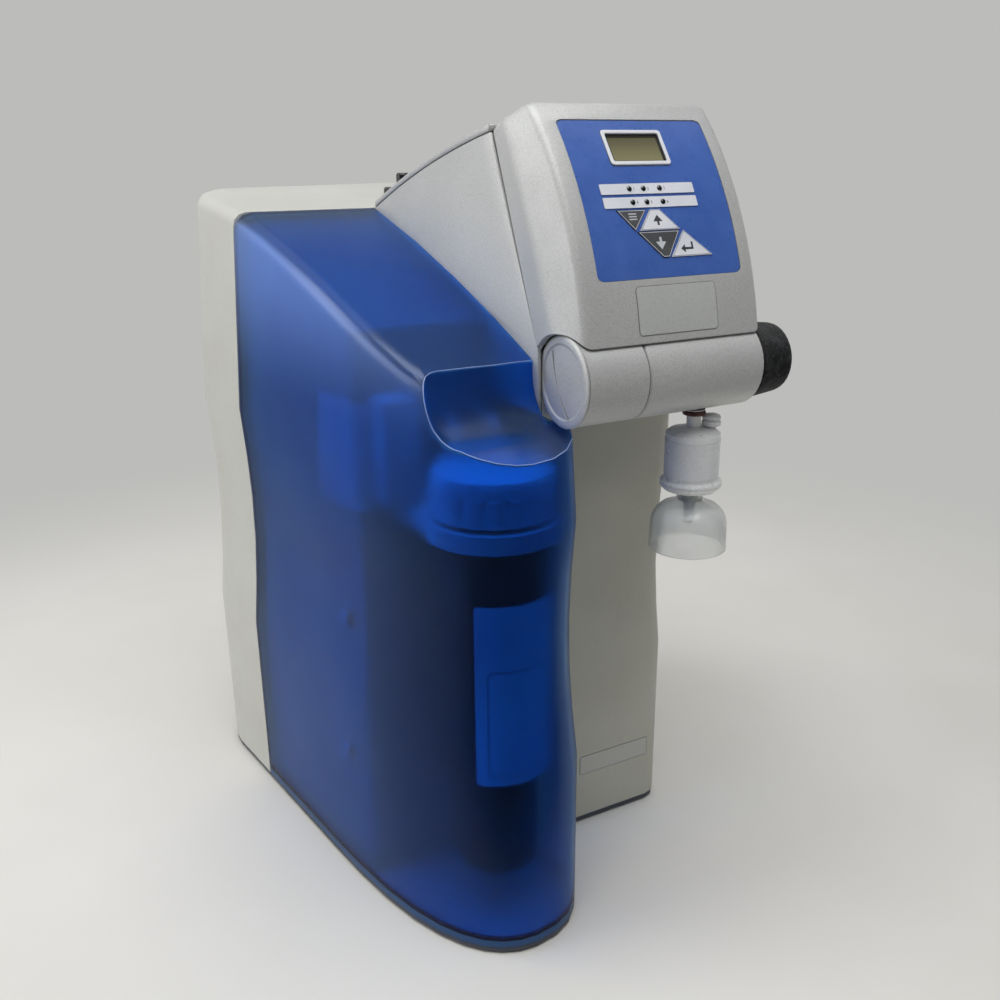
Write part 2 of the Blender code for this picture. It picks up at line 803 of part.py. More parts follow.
def body_form(name, outline, bottom_z, top_of, ridge=0.0, wall=0.0, material=None):
    """A lofted body: its outline in plan, carried up a wall with a waist and a lean."""
    rims = []
    for point in outline:
        lean = HIGH_CREASE_LEAN + UPPER_LEAN_SLOPE * (top_of(point.y) - ridge - high_crease(point.y))
        rims.append(wall + ridge + lean * point.lean_share)
    rim_places = inset_places(outline, rims)
    columns = [wall_steps(point.y, bottom_z, top_of(place[1]), ridge)
               for point, place in zip(outline, rim_places)]
    rows = []
    for level in range(len(columns[0])):
        distances = []
        for point, column in zip(outline, columns):
            height, lean, waist, rounding = column[level]
            distances.append(wall + lean * point.lean_share + waist * point.waist_share + rounding)
        places = inset_places(outline, distances)
        rows.append([(x, y, column[level][0]) for (x, y), column in zip(places, columns)])
    return UNIT.keep(name, loft_mesh(name, rows), material)


def loft_mesh(name, rows, flat_ends=False, soft_pairs=()):
    """A closed skin over rows of points. An end is one flat face, or strips from side to side."""
    count = len(rows[0])

    def build(work):
        grid = [[work.verts.new(place) for place in row] for row in rows]
        for lower, upper in zip(grid, grid[1:]):
            for index in range(count):
                after = (index + 1) % count
                work.faces.new((lower[index], lower[after], upper[after], upper[index]))
        weight = work.edges.layers.float.new("bevel_weight_edge")
        for (row, index), (other_row, other_index) in soft_pairs:
            work.edges.get((grid[row][index], grid[other_row][other_index]))[weight] = 1.0
        for ring in (grid[0], grid[-1]):
            if flat_ends:
                work.faces.new(ring)
                continue
            for index in range(count // 2):
                partner = count - 1 - index
                corners = [ring[index], ring[index + 1], ring[partner - 1], ring[partner]]
                distinct = list(dict.fromkeys(corners))
                if len(distinct) > 2:
                    work.faces.new(distinct)

    return mesh_from(name, build)


def cover_left_side():
    """The cover's outline from the seam along the left wall and round to the nose."""
    points = []
    for share in WALL_SHARES:
        y = blend(SEAM_Y, LEFT_KNEE_Y, share)
        points.append(PlanPoint(left_wall_x(y), y))
    knee_pull = (LEFT_KNEE_X + LEFT_TAPER_SLOPE * NOSE_KNEE_PULL, LEFT_KNEE_Y - NOSE_KNEE_PULL)
    curve = ((LEFT_KNEE_X, LEFT_KNEE_Y), knee_pull, (NOSE_X - NOSE_LEFT_PULL, NOSE_Y), (NOSE_X, NOSE_Y))
    for share in NOSE_SHARES:
        points.append(PlanPoint(*bezier(curve, share)))
    return points


def cover_nose_right():
    """The cover's outline from the nose round to its right wall."""
    curve = ((NOSE_X, NOSE_Y), (NOSE_X + NOSE_FRONT_PULL, NOSE_Y),
             (NOSE_RIGHT_X, NOSE_RIGHT_Y - NOSE_SIDE_PULL), (NOSE_RIGHT_X, NOSE_RIGHT_Y))
    return [PlanPoint(*bezier(curve, share)) for share in NOSE_RIGHT_SHARES]


def cover_outline(end_y, spread):
    """The whole outline of the cover's form. A spread opens its right side behind the panel's face."""
    points = cover_left_side()
    points[0] = PlanPoint(left_wall_x(end_y), end_y)
    points += cover_nose_right()
    for share in RIGHT_WALL_SHARES:
        y = blend(NOSE_RIGHT_Y, end_y, share)
        if spread and y > PANEL_Y:
            points.append(PlanPoint(NOSE_RIGHT_X + spread, y))
        else:
            points.append(PlanPoint(NOSE_RIGHT_X, y))
    return points


def scoop_outline(grow):
    """Side view of the finger scoop: a back wall round the arm's end, and a floor that falls forward."""
    radius = SCOOP_RADIUS + grow
    front_y = NOSE_Y - OVERRUN - 2.0 * SCOOP_END_RADIUS
    fall = SCOOP_FLOOR_FALL * (SCOOP_Y - front_y) / (SCOOP_Y - NOSE_Y)
    top_z = HEAD_TOP_Z
    outline = [(SCOOP_Y + radius, top_z)]
    for index in range(SCOOP_STEPS + 1):
        angle = 0.5 * math.pi * index / SCOOP_STEPS
        outline.append((SCOOP_Y + radius * math.cos(angle), SCOOP_Z - radius * math.sin(angle)))
    outline.append((front_y, SCOOP_Z - radius - fall))
    outline.append((front_y, top_z))
    return outline


def scoop_tool(name, grow):
    """The cutter for the scoop, with a round left end. It is larger by a wall for the cover's inside."""
    reach = SCOOP_END_RADIUS + grow
    rows = []
    for share in SCOOP_END_SHARES:
        angle = 0.5 * math.pi * share
        x = SCOOP_LEFT_X - grow + reach * (1.0 - math.cos(angle))
        outline = grown(scoop_outline(grow), -reach * (1.0 - math.sin(angle)))
        rows.append([(x, y, z) for y, z in outline])
    rows.append([(NOSE_RIGHT_X + reach, y, z) for y, z in scoop_outline(grow)])
    return smooth(UNIT.keep(name, loft_mesh(name, rows, True)))


def make_side_cover():
    bottom_z = STAND_Z
    made = body_form("side_cover", cover_outline(SEAM_Y - SEAM_GROOVE, 0.0), bottom_z, top_height,
                     RIDGE_RADIUS, material=cobalt())

    def inner_top(y):
        return top_height(y) - COVER_WALL / math.cos(TOP_SEAM_ANGLE)

    spread = COVER_WALL + HIGH_CREASE_LEAN + WAIST_DEPTH + RIDGE_RADIUS + OVERRUN
    hollow_outline = cover_outline(SEAM_Y + OVERRUN, spread)
    hollow = body_form("cover_hollow", hollow_outline, bottom_z - OVERRUN, inner_top,
                       RIDGE_RADIUS - COVER_WALL, COVER_WALL)
    cut(hollow, scoop_tool("cover_hollow_scoop", COVER_WALL))
    cut(made, scoop_tool("cover_scoop", 0.0))
    cut(made, smooth(hollow))
    rear_y = SEAM_Y + OVERRUN
    front_y = SCOOP_Y + 0.5 * SCOOP_RADIUS
    room = [(neck_left_x(front_y) - GAP, front_y), (RIGHT_X, front_y), (RIGHT_X, rear_y),
            (neck_left_x(rear_y) - GAP, rear_y)]
    cut(made, sheet_solid("cover_neck_room", room, HEAD_TOP_Z - COVER_RIM_Z, low=COVER_RIM_Z))
    panel_room = [(NOSE_RIGHT_X - COVER_WALL - OVERRUN, PANEL_Y - GAP), (RIGHT_X, PANEL_Y - GAP),
                  (RIGHT_X, rear_y), (NOSE_RIGHT_X - COVER_WALL - OVERRUN, rear_y)]
    cut(made, sheet_solid("cover_panel_room", panel_room, HEAD_TOP_Z, low=-OVERRUN))
    return smooth(made)


def rear_outline(front_y):
    """The rear housing's outline, from the seam on the right round the back to the seam on the left."""
    arc_y = REAR_Y - REAR_CORNER_RADIUS
    start = math.atan(LEFT_TAPER_SLOPE)
    points = [PlanPoint(left_wall_x(front_y), front_y), PlanPoint(left_wall_x(blend(front_y, arc_y, 0.5)),
                                                                 blend(front_y, arc_y, 0.5))]
    middle_x = left_wall_x(arc_y) + REAR_CORNER_RADIUS / math.cos(start)
    for share in REAR_CORNER_SHARES:
        angle = math.pi + start - (0.5 * math.pi + start) * share
        points.append(PlanPoint(middle_x + REAR_CORNER_RADIUS * math.cos(angle),
                                arc_y + REAR_CORNER_RADIUS * math.sin(angle)))
    middle_x = RIGHT_X - REAR_CORNER_RADIUS
    for share in REAR_CORNER_SHARES:
        angle = 0.5 * math.pi * (1.0 - share)
        points.append(PlanPoint(middle_x + REAR_CORNER_RADIUS * math.cos(angle),
                                arc_y + REAR_CORNER_RADIUS * math.sin(angle), 0.0))
    points.append(PlanPoint(RIGHT_X, blend(front_y, arc_y, 0.5), 0.0))
    points.append(PlanPoint(RIGHT_X, front_y, 0.0))
    return points[::-1]


def recess_tool(name, grow):
    """The room of the service recess at the back, larger by a wall for the housing's inside."""
    return box(name, (RECESS_LEFT_X - grow, RECESS_Y - grow, RECESS_LOW_Z - grow),
               (RECESS_RIGHT_X + grow, REAR_Y + OVERRUN, RECESS_TOP_Z + grow))


def make_rear_housing():
    made = body_form("rear_housing", rear_outline(SEAM_Y + GAP), STAND_Z, rear_top_height, REAR_RIDGE_RADIUS,
                     material=warm_grey())

    def inner_top(y):
        return rear_top_height(y) - HOUSING_WALL

    hollow = body_form("rear_hollow", rear_outline(SEAM_Y - OVERRUN), STAND_Z - OVERRUN, inner_top,
                       REAR_RIDGE_RADIUS - HOUSING_WALL, HOUSING_WALL)
    cut(hollow, recess_tool("rear_hollow_recess", HOUSING_WALL))
    cut(made, hollow)
    cut(made, recess_tool("rear_recess", 0.0))
    for x in (FEED_X, DRAIN_X):
        cut(made, rod("connector_hole", (x, RECESS_Y - RECESS_ROOM, CONNECTOR_Z), (0.0, 1.0, 0.0),
                      CONNECTOR_RADIUS + GAP, 2.0 * RECESS_ROOM))
    half_width = 0.5 * SOCKET_WIDTH + GAP
    half_height = 0.5 * SOCKET_HEIGHT + GAP
    cut(made, box("socket_hole", (SOCKET_X - half_width, RECESS_Y - RECESS_ROOM, CONNECTOR_Z - half_height),
                  (SOCKET_X + half_width, REAR_Y + OVERRUN, CONNECTOR_Z + half_height)))
    for x in (TOP_PLUG_LEFT_X, TOP_PLUG_RIGHT_X):
        cut(made, rod("top_plug_hole", (x, TOP_PLUG_Y, TOP_SEAM_Z - RIDGE_RADIUS), (0.0, 0.0, 1.0),
                      0.5 * TOP_PLUG_RADIUS + GAP, 2.0 * RIDGE_RADIUS))
    return smooth(made)


def housing_outline(rear_y):
    """The front housing in plan: it follows the cover inside, and its front wall is flat."""
    front_y = PANEL_Y + PANEL_DEPTH + GAP
    inset = COVER_WALL + BAY_CLEARANCE
    side = [point for point in cover_left_side() if point.y > front_y + HOUSING_CORNER_RADIUS]
    side[0] = PlanPoint(left_wall_x(rear_y), rear_y)
    places = inset_places(side, [inset] * len(side))
    points = [PlanPoint(x, y) for x, y in places]
    end_x = places[-1][0]
    for share in CORNER_SHARES[1:]:
        angle = 0.5 * math.pi * share
        points.append(PlanPoint(end_x + HOUSING_CORNER_RADIUS * (1.0 - math.cos(angle)),
                                front_y + HOUSING_CORNER_RADIUS * (1.0 - math.sin(angle)), 1.0 - share))
    points.append(PlanPoint(NOSE_RIGHT_X, front_y, 0.0, 0.0))
    points.append(PlanPoint(RIGHT_X, front_y, 0.0, 0.0))
    for share in (0.33, 0.67):
        points.append(PlanPoint(RIGHT_X, blend(front_y, rear_y, share), 0.0))
    points.append(PlanPoint(RIGHT_X, rear_y, 0.0))
    return points


def housing_left_x(y, z):
    """The front housing's left wall at a depth and a height."""
    share = min(max((z - low_crease(y)) / (high_crease(y) - low_crease(y)), 0.0), 1.0)
    waist = WAIST_DEPTH * math.sin(math.pi * share)
    distance = COVER_WALL + BAY_CLEARANCE + HIGH_CREASE_LEAN * share + waist
    side = cover_left_side()
    places = inset_places(side, [distance] * len(side))
    for (near_x, near_y), (far_x, far_y) in zip(places, places[1:]):
        if far_y <= y <= near_y:
            return blend(near_x, far_x, (near_y - y) / (near_y - far_y))
    return places[0][0]


def make_front_housing():
    drop = COVER_WALL + BAY_CLEARANCE

    def top(y):
        return top_height(y) - drop

    def inner_top(y):
        return top_height(y) - drop - HOUSING_WALL

    made = body_form("front_housing", housing_outline(SEAM_Y - GAP), STAND_Z, top, material=warm_grey())
    hollow = body_form("front_hollow", housing_outline(SEAM_Y + OVERRUN), STAND_Z - OVERRUN, inner_top,
                       wall=HOUSING_WALL)
    cut(made, hollow)
    return smooth(made)


def panel_outline(rear_y):
    """The front panel in plan: a shallow tray with a round right corner."""
    middle_x = RIGHT_X - PANEL_CORNER_RADIUS
    middle_y = PANEL_Y + PANEL_CORNER_RADIUS
    points = [PlanPoint(NOSE_RIGHT_X, rear_y, 0.0, 0.0), PlanPoint(NOSE_RIGHT_X, PANEL_Y, 0.0, 1.0)]
    for share in (0.25, 0.5, 0.75):
        points.append(PlanPoint(blend(NOSE_RIGHT_X, middle_x, share), PANEL_Y, 0.0))
    for share in CORNER_SHARES:
        angle = -0.5 * math.pi * (1.0 - share)
        points.append(PlanPoint(middle_x + PANEL_CORNER_RADIUS * math.cos(angle),
                                middle_y + PANEL_CORNER_RADIUS * math.sin(angle), 0.0))
    points.append(PlanPoint(RIGHT_X, max(rear_y, middle_y + GAP), 0.0))
    return points


def make_front_panel():
    rear_y = PANEL_Y + PANEL_DEPTH

    def top(y):
        return PANEL_TOP_Z

    def inner_top(y):
        return PANEL_TOP_Z - HOUSING_WALL

    made = body_form("front_panel", panel_outline(rear_y), STAND_Z, top, material=silver_grey())
    hollow = body_form("panel_hollow", panel_outline(rear_y + OVERRUN), STAND_Z - OVERRUN, inner_top,
                       wall=HOUSING_WALL)
    cut(made, hollow)
    return smooth(made)


def footprint():
    """The whole outline of the unit at its base, anticlockwise from the seam on the left."""
    points = [(point.x, point.y) for point in cover_left_side() + cover_nose_right()]
    points += [(point.x, point.y) for point in panel_outline(PANEL_Y + PANEL_DEPTH)[1:-1]]
    points += [(point.x, point.y) for point in rear_outline(SEAM_Y)[:-1]]
    return points


def make_base():
    sheet_solid("base_plate", grown(footprint(), -GAP), BASE_THICKNESS, warm_grey(), low=FOOT_HEIGHT)
    left_x = left_wall_x(SEAM_Y) + FOOT_INSET
    places = {
        "foot_rear_left": (left_x, REAR_Y - FOOT_INSET),
        "foot_rear_right": (RIGHT_X - FOOT_INSET, REAR_Y - FOOT_INSET),
        "foot_front_left": (NOSE_X, NOSE_Y + FOOT_INSET),
        "foot_front_right": (RIGHT_X - FOOT_INSET, PANEL_Y + FOOT_INSET),
    }
    for name, (x, y) in places.items():
        smooth(rod(name, (x, y, 0.0), (0.0, 0.0, 1.0), FOOT_RADIUS, FOOT_HEIGHT - GAP, black_rubber(), 14,
                   0.4 * FOOT_HEIGHT))


def neck_side_outline():
    """Side view of the neck's side plates, from the rear foot forward and back over the arch."""
    drop = COVER_WALL + BAY_CLEARANCE
    housing_y = PANEL_Y + PANEL_DEPTH
    rear_y = SEAM_Y - GAP
    outline = []
    for index in range(ARC_STEPS + 1):
        y = blend(rear_y, housing_y, index / ARC_STEPS)
        outline.append((y, top_height(y) - drop + GAP))
    outline.append((housing_y, NECK_FLOOR_Z))
    outline.append((NECK_FRONT_Y, NECK_FLOOR_Z))
    outline.append((NECK_FRONT_Y, NECK_SEAM_LOW_Z))
    top_z = neck_height(NECK_SEAM_TOP_Y)
    outline.append((neck_seam_y(top_z), top_z))
    for index in range(1, ARC_STEPS + 1):
        y = blend(NECK_SEAM_TOP_Y, rear_y, index / ARC_STEPS)
        outline.append((y, neck_height(y)))
    return outline


def tapered_sheet(name, outline, thickness):
    """A plate across X from the neck's left side, with its left part moved onto the neck's taper."""
    mesh = sheet_mesh(name, outline, thickness)
    mesh.transform(across(NECK_LEFT_X))
    for vertex in mesh.vertices:
        if vertex.co.x < NECK_LEFT_X + 2.0 * NECK_PLATE:
            vertex.co.x += neck_left_x(vertex.co.y) - NECK_LEFT_X
    return UNIT.keep(name, mesh, silver_grey())


def make_neck():
    outline = neck_side_outline()
    bevel(tapered_sheet("neck_left_plate", outline, NECK_PLATE), 0.35 * NECK_PLATE, 2, 60.0)
    right = sheet_solid("neck_right_plate", outline, NECK_PLATE, silver_grey(), across(RIGHT_X - NECK_PLATE))
    bevel(right, 0.35 * NECK_PLATE, 2, 60.0)
    cut(right, rod("neck_knob_room", (ARM_RIGHT_X, ARM_Y, ARM_Z), (1.0, 0.0, 0.0),
                   KNOB_RADIUS + ARM_CLEARANCE, 2.0 * RIGHT_X, steps=44))
    rear_y = SEAM_Y - GAP
    skin = []
    for index in range(ARC_STEPS + 1):
        y = blend(NECK_SEAM_TOP_Y, rear_y, index / ARC_STEPS)
        skin.append((y, neck_height(y) + GAP))
    for index in range(ARC_STEPS + 1):
        y = blend(rear_y, NECK_SEAM_TOP_Y, index / ARC_STEPS)
        skin.append((y, neck_height(y) + GAP + NECK_SKIN))
    bevel(tapered_sheet("neck_top_skin", skin, RIGHT_X - NECK_LEFT_X), 0.3 * NECK_SKIN, 2, 60.0)
    inner_left = neck_left_x(NECK_FRONT_Y) + NECK_PLATE + GAP
    inner_right = RIGHT_X - NECK_PLATE - GAP
    floor_top = NECK_FLOOR_Z + NECK_PLATE
    front_y = NECK_FRONT_Y
    front_top = NECK_SEAM_LOW_Z - NECK_PLATE
    housing_y = PANEL_Y + PANEL_DEPTH
    seat_y = ARM_Y + ARM_RADIUS + NECK_PLATE
    corner_shape = [(front_y, NECK_FLOOR_Z), (housing_y, NECK_FLOOR_Z), (housing_y, floor_top),
                    (seat_y, floor_top), (seat_y, front_top), (front_y, front_top)]
    floor = sheet_solid("neck_underside", corner_shape, inner_right - inner_left, silver_grey(),
                        across(inner_left))
    cut(floor, rod("arm_seat", (HEAD_LEFT_X, ARM_Y, ARM_Z), (1.0, 0.0, 0.0), CAP_RADIUS + GAP,
                   2.0 * RIGHT_X - HEAD_LEFT_X, steps=48))
    smooth(floor)


def head_ring(x, step_share, inset, open_rear):
    """One cross-section of the head at an X: the convex face, or the line where the side strip starts."""
    low_z = HEAD_BOTTOM_Z + inset
    high_z = blend(HEAD_TOP_Z, STEP_TOP_Z, step_share) - inset
    ring = []
    for index in range(FACE_STEPS + 1):
        share = index / FACE_STEPS
        z = blend(low_z, high_z, share)
        bulge = STEP_BULGE * 4.0 * share * (1.0 - share)
        step_y = blend(STEP_BOTTOM_Y, STEP_TOP_Y, share) - bulge + inset
        ring.append((x, blend(face_y(z, inset), step_y, step_share), z))
    groove = SEAM_GROOVE - open_rear
    rear_top = blend(HEAD_REAR_TOP_Z, NECK_SEAM_TOP_Z, step_share) - inset
    ring.append((x, neck_seam_y(rear_top) - groove, rear_top))
    ring.append((x, neck_seam_y(low_z) - groove, low_z))
    return ring


def head_form(name, inset, open_rear, material=None):
    """The head as a loft of four cross-sections, wider behind than at its face."""
    mirror_x = HEAD_FACE_LEFT_X + HEAD_FACE_RIGHT_X
    rings = [head_ring(HEAD_LEFT_X + inset, 1.0, inset, open_rear),
             head_ring(HEAD_FACE_LEFT_X + inset, 0.0, inset, open_rear),
             head_ring(HEAD_FACE_RIGHT_X - inset, 0.0, inset, open_rear),
             head_ring(mirror_x - HEAD_LEFT_X - inset, 1.0, inset, open_rear)]
    soft = []
    for row in range(len(rings)):
        soft += [((row, index), (row, index + 1)) for index in range(FACE_STEPS + 1)]
    for row in range(len(rings) - 1):
        soft.append(((row, FACE_STEPS), (row + 1, FACE_STEPS)))
    return UNIT.keep(name, loft_mesh(name, rings, True, soft), material)


def on_face(x, z, depth=0.0):
    """A placement on the display face: local X across, Y up the face, Z out of it."""
    sine = (z - FACE_CENTRE_Z) / FACE_RADIUS
    cosine = math.sqrt(1.0 - sine * sine)
    place = Matrix(((1.0, 0.0, 0.0, x),
                    (0.0, sine, -cosine, face_y(z) + cosine * depth),
                    (0.0, cosine, sine, z - sine * depth),
                    (0.0, 0.0, 0.0, 1.0)))
    return place


def curved_sheet(name, left_x, right_x, low_z, high_z, corner_radius, inner, outer, material=None):
    """A sheet bent to the display face, between two depths under it, with round corners."""
    rise_angle = [math.asin((z - FACE_CENTRE_Z) / FACE_RADIUS) for z in (low_z, high_z)]
    corner_angle = corner_radius / FACE_RADIUS
    lines = []
    for share in SHEET_CORNER_SHARES:
        draw_in = corner_radius * (1.0 - math.sqrt(share * (2.0 - share)))
        lines.append((rise_angle[0] + corner_angle * share, draw_in))
    for index in range(1, FACE_STEPS):
        angle = blend(rise_angle[0] + corner_angle, rise_angle[1] - corner_angle, index / FACE_STEPS)
        lines.append((angle, 0.0))
    for share in reversed(SHEET_CORNER_SHARES):
        draw_in = corner_radius * (1.0 - math.sqrt(share * (2.0 - share)))
        lines.append((rise_angle[1] - corner_angle * share, draw_in))
    low_radius = FACE_RADIUS - inner
    high_radius = FACE_RADIUS - outer
    rows = []
    for angle, draw_in in lines:
        left = left_x + draw_in
        right = right_x - draw_in
        row = []
        for x, radius in ((left, low_radius), (right, low_radius),
                          (right, high_radius), (left, high_radius)):
            y = FACE_CENTRE_Y - radius * math.cos(angle)
            row.append((x, y, FACE_CENTRE_Z + radius * math.sin(angle)))
        rows.append(row)
    return UNIT.keep(name, loft_mesh(name, rows), material)


def key_outlines():
    """The four keys as outlines on the face, each about its own row's height."""
    upper = 0.5 * KEY_UPPER_HEIGHT
    lower = 0.5 * KEY_LOWER_HEIGHT
    menu = [(KEY_MENU_LEFT_X, upper), (KEY_MENU_TIP_X, -upper), (KEY_MENU_RIGHT_X, upper)]
    up = [(KEY_UP_LEFT_X, -upper), (KEY_UP_RIGHT_X, -upper), (KEY_UP_TOP_RIGHT_X, upper),
          (KEY_UP_TOP_LEFT_X, upper)]
    down = [(KEY_DOWN_LEFT_X, lower), (KEY_DOWN_LOW_LEFT_X, -lower), (KEY_DOWN_LOW_RIGHT_X, -lower),
            (KEY_DOWN_RIGHT_X, lower)]
    enter = [(KEY_ENTER_LEFT_X, -lower), (KEY_ENTER_RIGHT_X, -lower), (KEY_ENTER_TIP_X, lower)]
    return {"key_menu": (KEY_UPPER_Z, menu), "key_up": (KEY_UPPER_Z, up),
            "key_down": (KEY_LOWER_Z, down), "key_enter": (KEY_LOWER_Z, enter)}


def make_keypad(head):
    floor = RECESS_DEPTH
    outer = RECESS_DEPTH - GAP - MEMBRANE_THICKNESS
    cut(head, curved_sheet("keypad_recess", MEMBRANE_LEFT_X - GAP, MEMBRANE_RIGHT_X + GAP,
                           MEMBRANE_LOW_Z - GAP, MEMBRANE_TOP_Z + GAP, MEMBRANE_CORNER, floor, -OVERRUN))
    membrane = curved_sheet("keypad_membrane", MEMBRANE_LEFT_X, MEMBRANE_RIGHT_X, MEMBRANE_LOW_Z,
                            MEMBRANE_TOP_Z, MEMBRANE_CORNER, floor - GAP, outer, keypad_blue())
    frame_outline = rounded_rectangle(DISPLAY_WIDTH, DISPLAY_HEIGHT, DISPLAY_CORNER)
    window_outline = rounded_rectangle(DISPLAY_WIDTH - 2.0 * DISPLAY_FRAME,
                                       DISPLAY_HEIGHT - 2.0 * DISPLAY_FRAME, 0.5 * DISPLAY_CORNER)
    face_room = RECESS_DEPTH + OVERRUN
    cut(membrane, sheet_solid("display_frame_hole", grown(frame_outline, GAP), 2.0 * face_room,
                              place=on_face(DISPLAY_X, DISPLAY_Z, face_room)))
    cut(head, sheet_solid("display_window_hole", window_outline, HEAD_WALL + 2.0 * OVERRUN,
                          place=on_face(DISPLAY_X, DISPLAY_Z, HEAD_WALL + OVERRUN)))
    sag = DISPLAY_HEIGHT ** 2 / (8.0 * FACE_RADIUS)
    frame_low = floor - sag - GAP
    frame = sheet_solid("display_frame", frame_outline, frame_low + DISPLAY_PROUD, white_plastic(),
                        on_face(DISPLAY_X, DISPLAY_Z, frame_low))
    cut(frame, sheet_solid("display_frame_opening", window_outline, 2.0 * face_room,
                           place=on_face(DISPLAY_X, DISPLAY_Z, face_room)))
    bevel(frame, DISPLAY_PROUD, 1, 60.0)
    window_low = floor + WINDOW_THICKNESS
    sheet_solid("display_window", grown(window_outline, -GAP), WINDOW_THICKNESS, olive_glass(),
                on_face(DISPLAY_X, DISPLAY_Z, window_low))
    light = [(0.0, INDICATOR_HEIGHT), (0.6 * INDICATOR_RADIUS, INDICATOR_HEIGHT),
             (INDICATOR_RADIUS, 0.5 * INDICATOR_HEIGHT), (INDICATOR_RADIUS, 0.0), (0.0, 0.0)]
    for name, z in (("indicator_strip_upper", STRIP_UPPER_Z), ("indicator_strip_lower", STRIP_LOWER_Z)):
        base = outer - GAP
        outline = rounded_rectangle(STRIP_WIDTH, STRIP_HEIGHT, STRIP_CORNER)
        strip = sheet_solid(name, outline, STRIP_THICKNESS, white_plastic(), on_face(STRIP_X, z, base))
        for x in INDICATOR_XS:
            seat = on_face(x, z, base - 0.3 * STRIP_THICKNESS)
            join(strip, turned(name + "_light", light, seat.translation, seat.col[2].to_3d(), steps=10))
    pocket_floor = floor + KEY_THICKNESS
    key_low = outer + KEY_THICKNESS - KEY_PROUD - GAP
    for name, (z, outline) in key_outlines().items():
        finish_here = white_plastic() if name in ("key_up", "key_enter") else key_grey()
        sheet_solid(name, outline, KEY_THICKNESS, finish_here, on_face(0.0, z, key_low))
        room = grown(outline, GAP)
        cut(membrane, sheet_solid(name + "_hole", room, 2.0 * face_room, place=on_face(0.0, z, face_room)))
        depth = max(pocket_floor, key_low + KEY_TRAVEL + GAP)
        cut(head, sheet_solid(name + "_pocket", room, depth + OVERRUN, place=on_face(0.0, z, depth)))


def make_head():
    made = head_form("head_shell", 0.0, 0.0, silver_grey())
    bevel(made, HEAD_EDGE_RADIUS, 3).modifiers["rounded"].limit_method = "WEIGHT"
    cut(made, head_form("head_hollow", HEAD_WALL, SEAM_GROOVE + 2.0 * OVERRUN))
    cut(made, rod("head_arm_room", (HEAD_LEFT_X - OVERRUN, ARM_Y, ARM_Z), (1.0, 0.0, 0.0),
                  CAP_RADIUS + ARM_CLEARANCE, RIGHT_X - HEAD_LEFT_X + 2.0 * OVERRUN, steps=64))
    make_keypad(made)
    smooth(made)
    board_height = 1.6 * DISPLAY_HEIGHT
    board_sag = board_height ** 2 / (8.0 * (FACE_RADIUS - HEAD_WALL))
    board_low = HEAD_WALL + board_sag + GAP + DISPLAY_BOARD_THICKNESS
    sheet_solid("display_board", rounded_rectangle(2.0 * DISPLAY_WIDTH, board_height, DISPLAY_CORNER),
                DISPLAY_BOARD_THICKNESS, board_green(), on_face(DISPLAY_X, DISPLAY_Z, board_low))


def make_arm():
    left_length = ARM_SEAM_X - ARM_LEFT_X
    edge_radius = ARM_RADIUS - ARM_EDGE
    socket = CAP_SPIGOT_RADIUS + GAP
    profile = [(0.0, left_length), (edge_radius, left_length), (ARM_RADIUS, left_length - ARM_EDGE),
               (ARM_RADIUS, 3.0 * ARM_EDGE), (blend(ARM_RADIUS, CAP_RADIUS, 0.3), ARM_EDGE),
               (CAP_RADIUS, 0.0), (socket, 0.0), (socket, CAP_SPIGOT_LENGTH + GAP),
               (0.0, CAP_SPIGOT_LENGTH + GAP)]
    smooth(turned("arm_left", profile, (ARM_LEFT_X, ARM_Y, ARM_Z), (1.0, 0.0, 0.0), silver_grey(), 40))
    thickness = ARM_LEFT_X - GAP - CAP_FACE_X
    dish = CAP_RADIUS - CAP_RIM
    cap = [(0.0, thickness + CAP_SPIGOT_LENGTH), (CAP_SPIGOT_RADIUS, thickness + CAP_SPIGOT_LENGTH),
           (CAP_SPIGOT_RADIUS, thickness), (CAP_RADIUS, thickness), (CAP_RADIUS, 0.5 * thickness),
           (CAP_RADIUS - 0.2 * CAP_RIM, 0.1 * thickness), (CAP_RADIUS - 0.4 * CAP_RIM, 0.0),
           (dish + 0.2 * CAP_RIM, 0.0), (dish, CAP_DISH), (0.6 * dish, 0.4 * CAP_DISH), (0.0, 0.0)]
    smooth(turned("arm_end_cap", cap, (CAP_FACE_X, ARM_Y, ARM_Z), (1.0, 0.0, 0.0), silver_grey(), 40))
    right_length = ARM_RIGHT_X - ARM_SEAM_X - GAP
    bore = SPINDLE_RADIUS + SPINDLE_CLEARANCE
    bore_end = right_length - SPINDLE_DEPTH - GAP
    body = [(bore, right_length), (edge_radius, right_length), (ARM_RADIUS, right_length - ARM_EDGE),
            (ARM_RADIUS, ARM_EDGE), (edge_radius, 0.0), (0.0, 0.0), (0.0, bore_end), (bore, bore_end)]
    right = turned("arm_right", body, (ARM_SEAM_X + GAP, ARM_Y, ARM_Z), (1.0, 0.0, 0.0), silver_grey(), 40,
                   closed=True)
    cut(right, rod("nipple_seat", (OUTLET_X, ARM_Y, ARM_Z - ARM_RADIUS - OVERRUN), (0.0, 0.0, 1.0),
                   NIPPLE_RADIUS + GAP, NIPPLE_SEAT + GAP + OVERRUN, steps=16))
    smooth(right)
    make_knob()


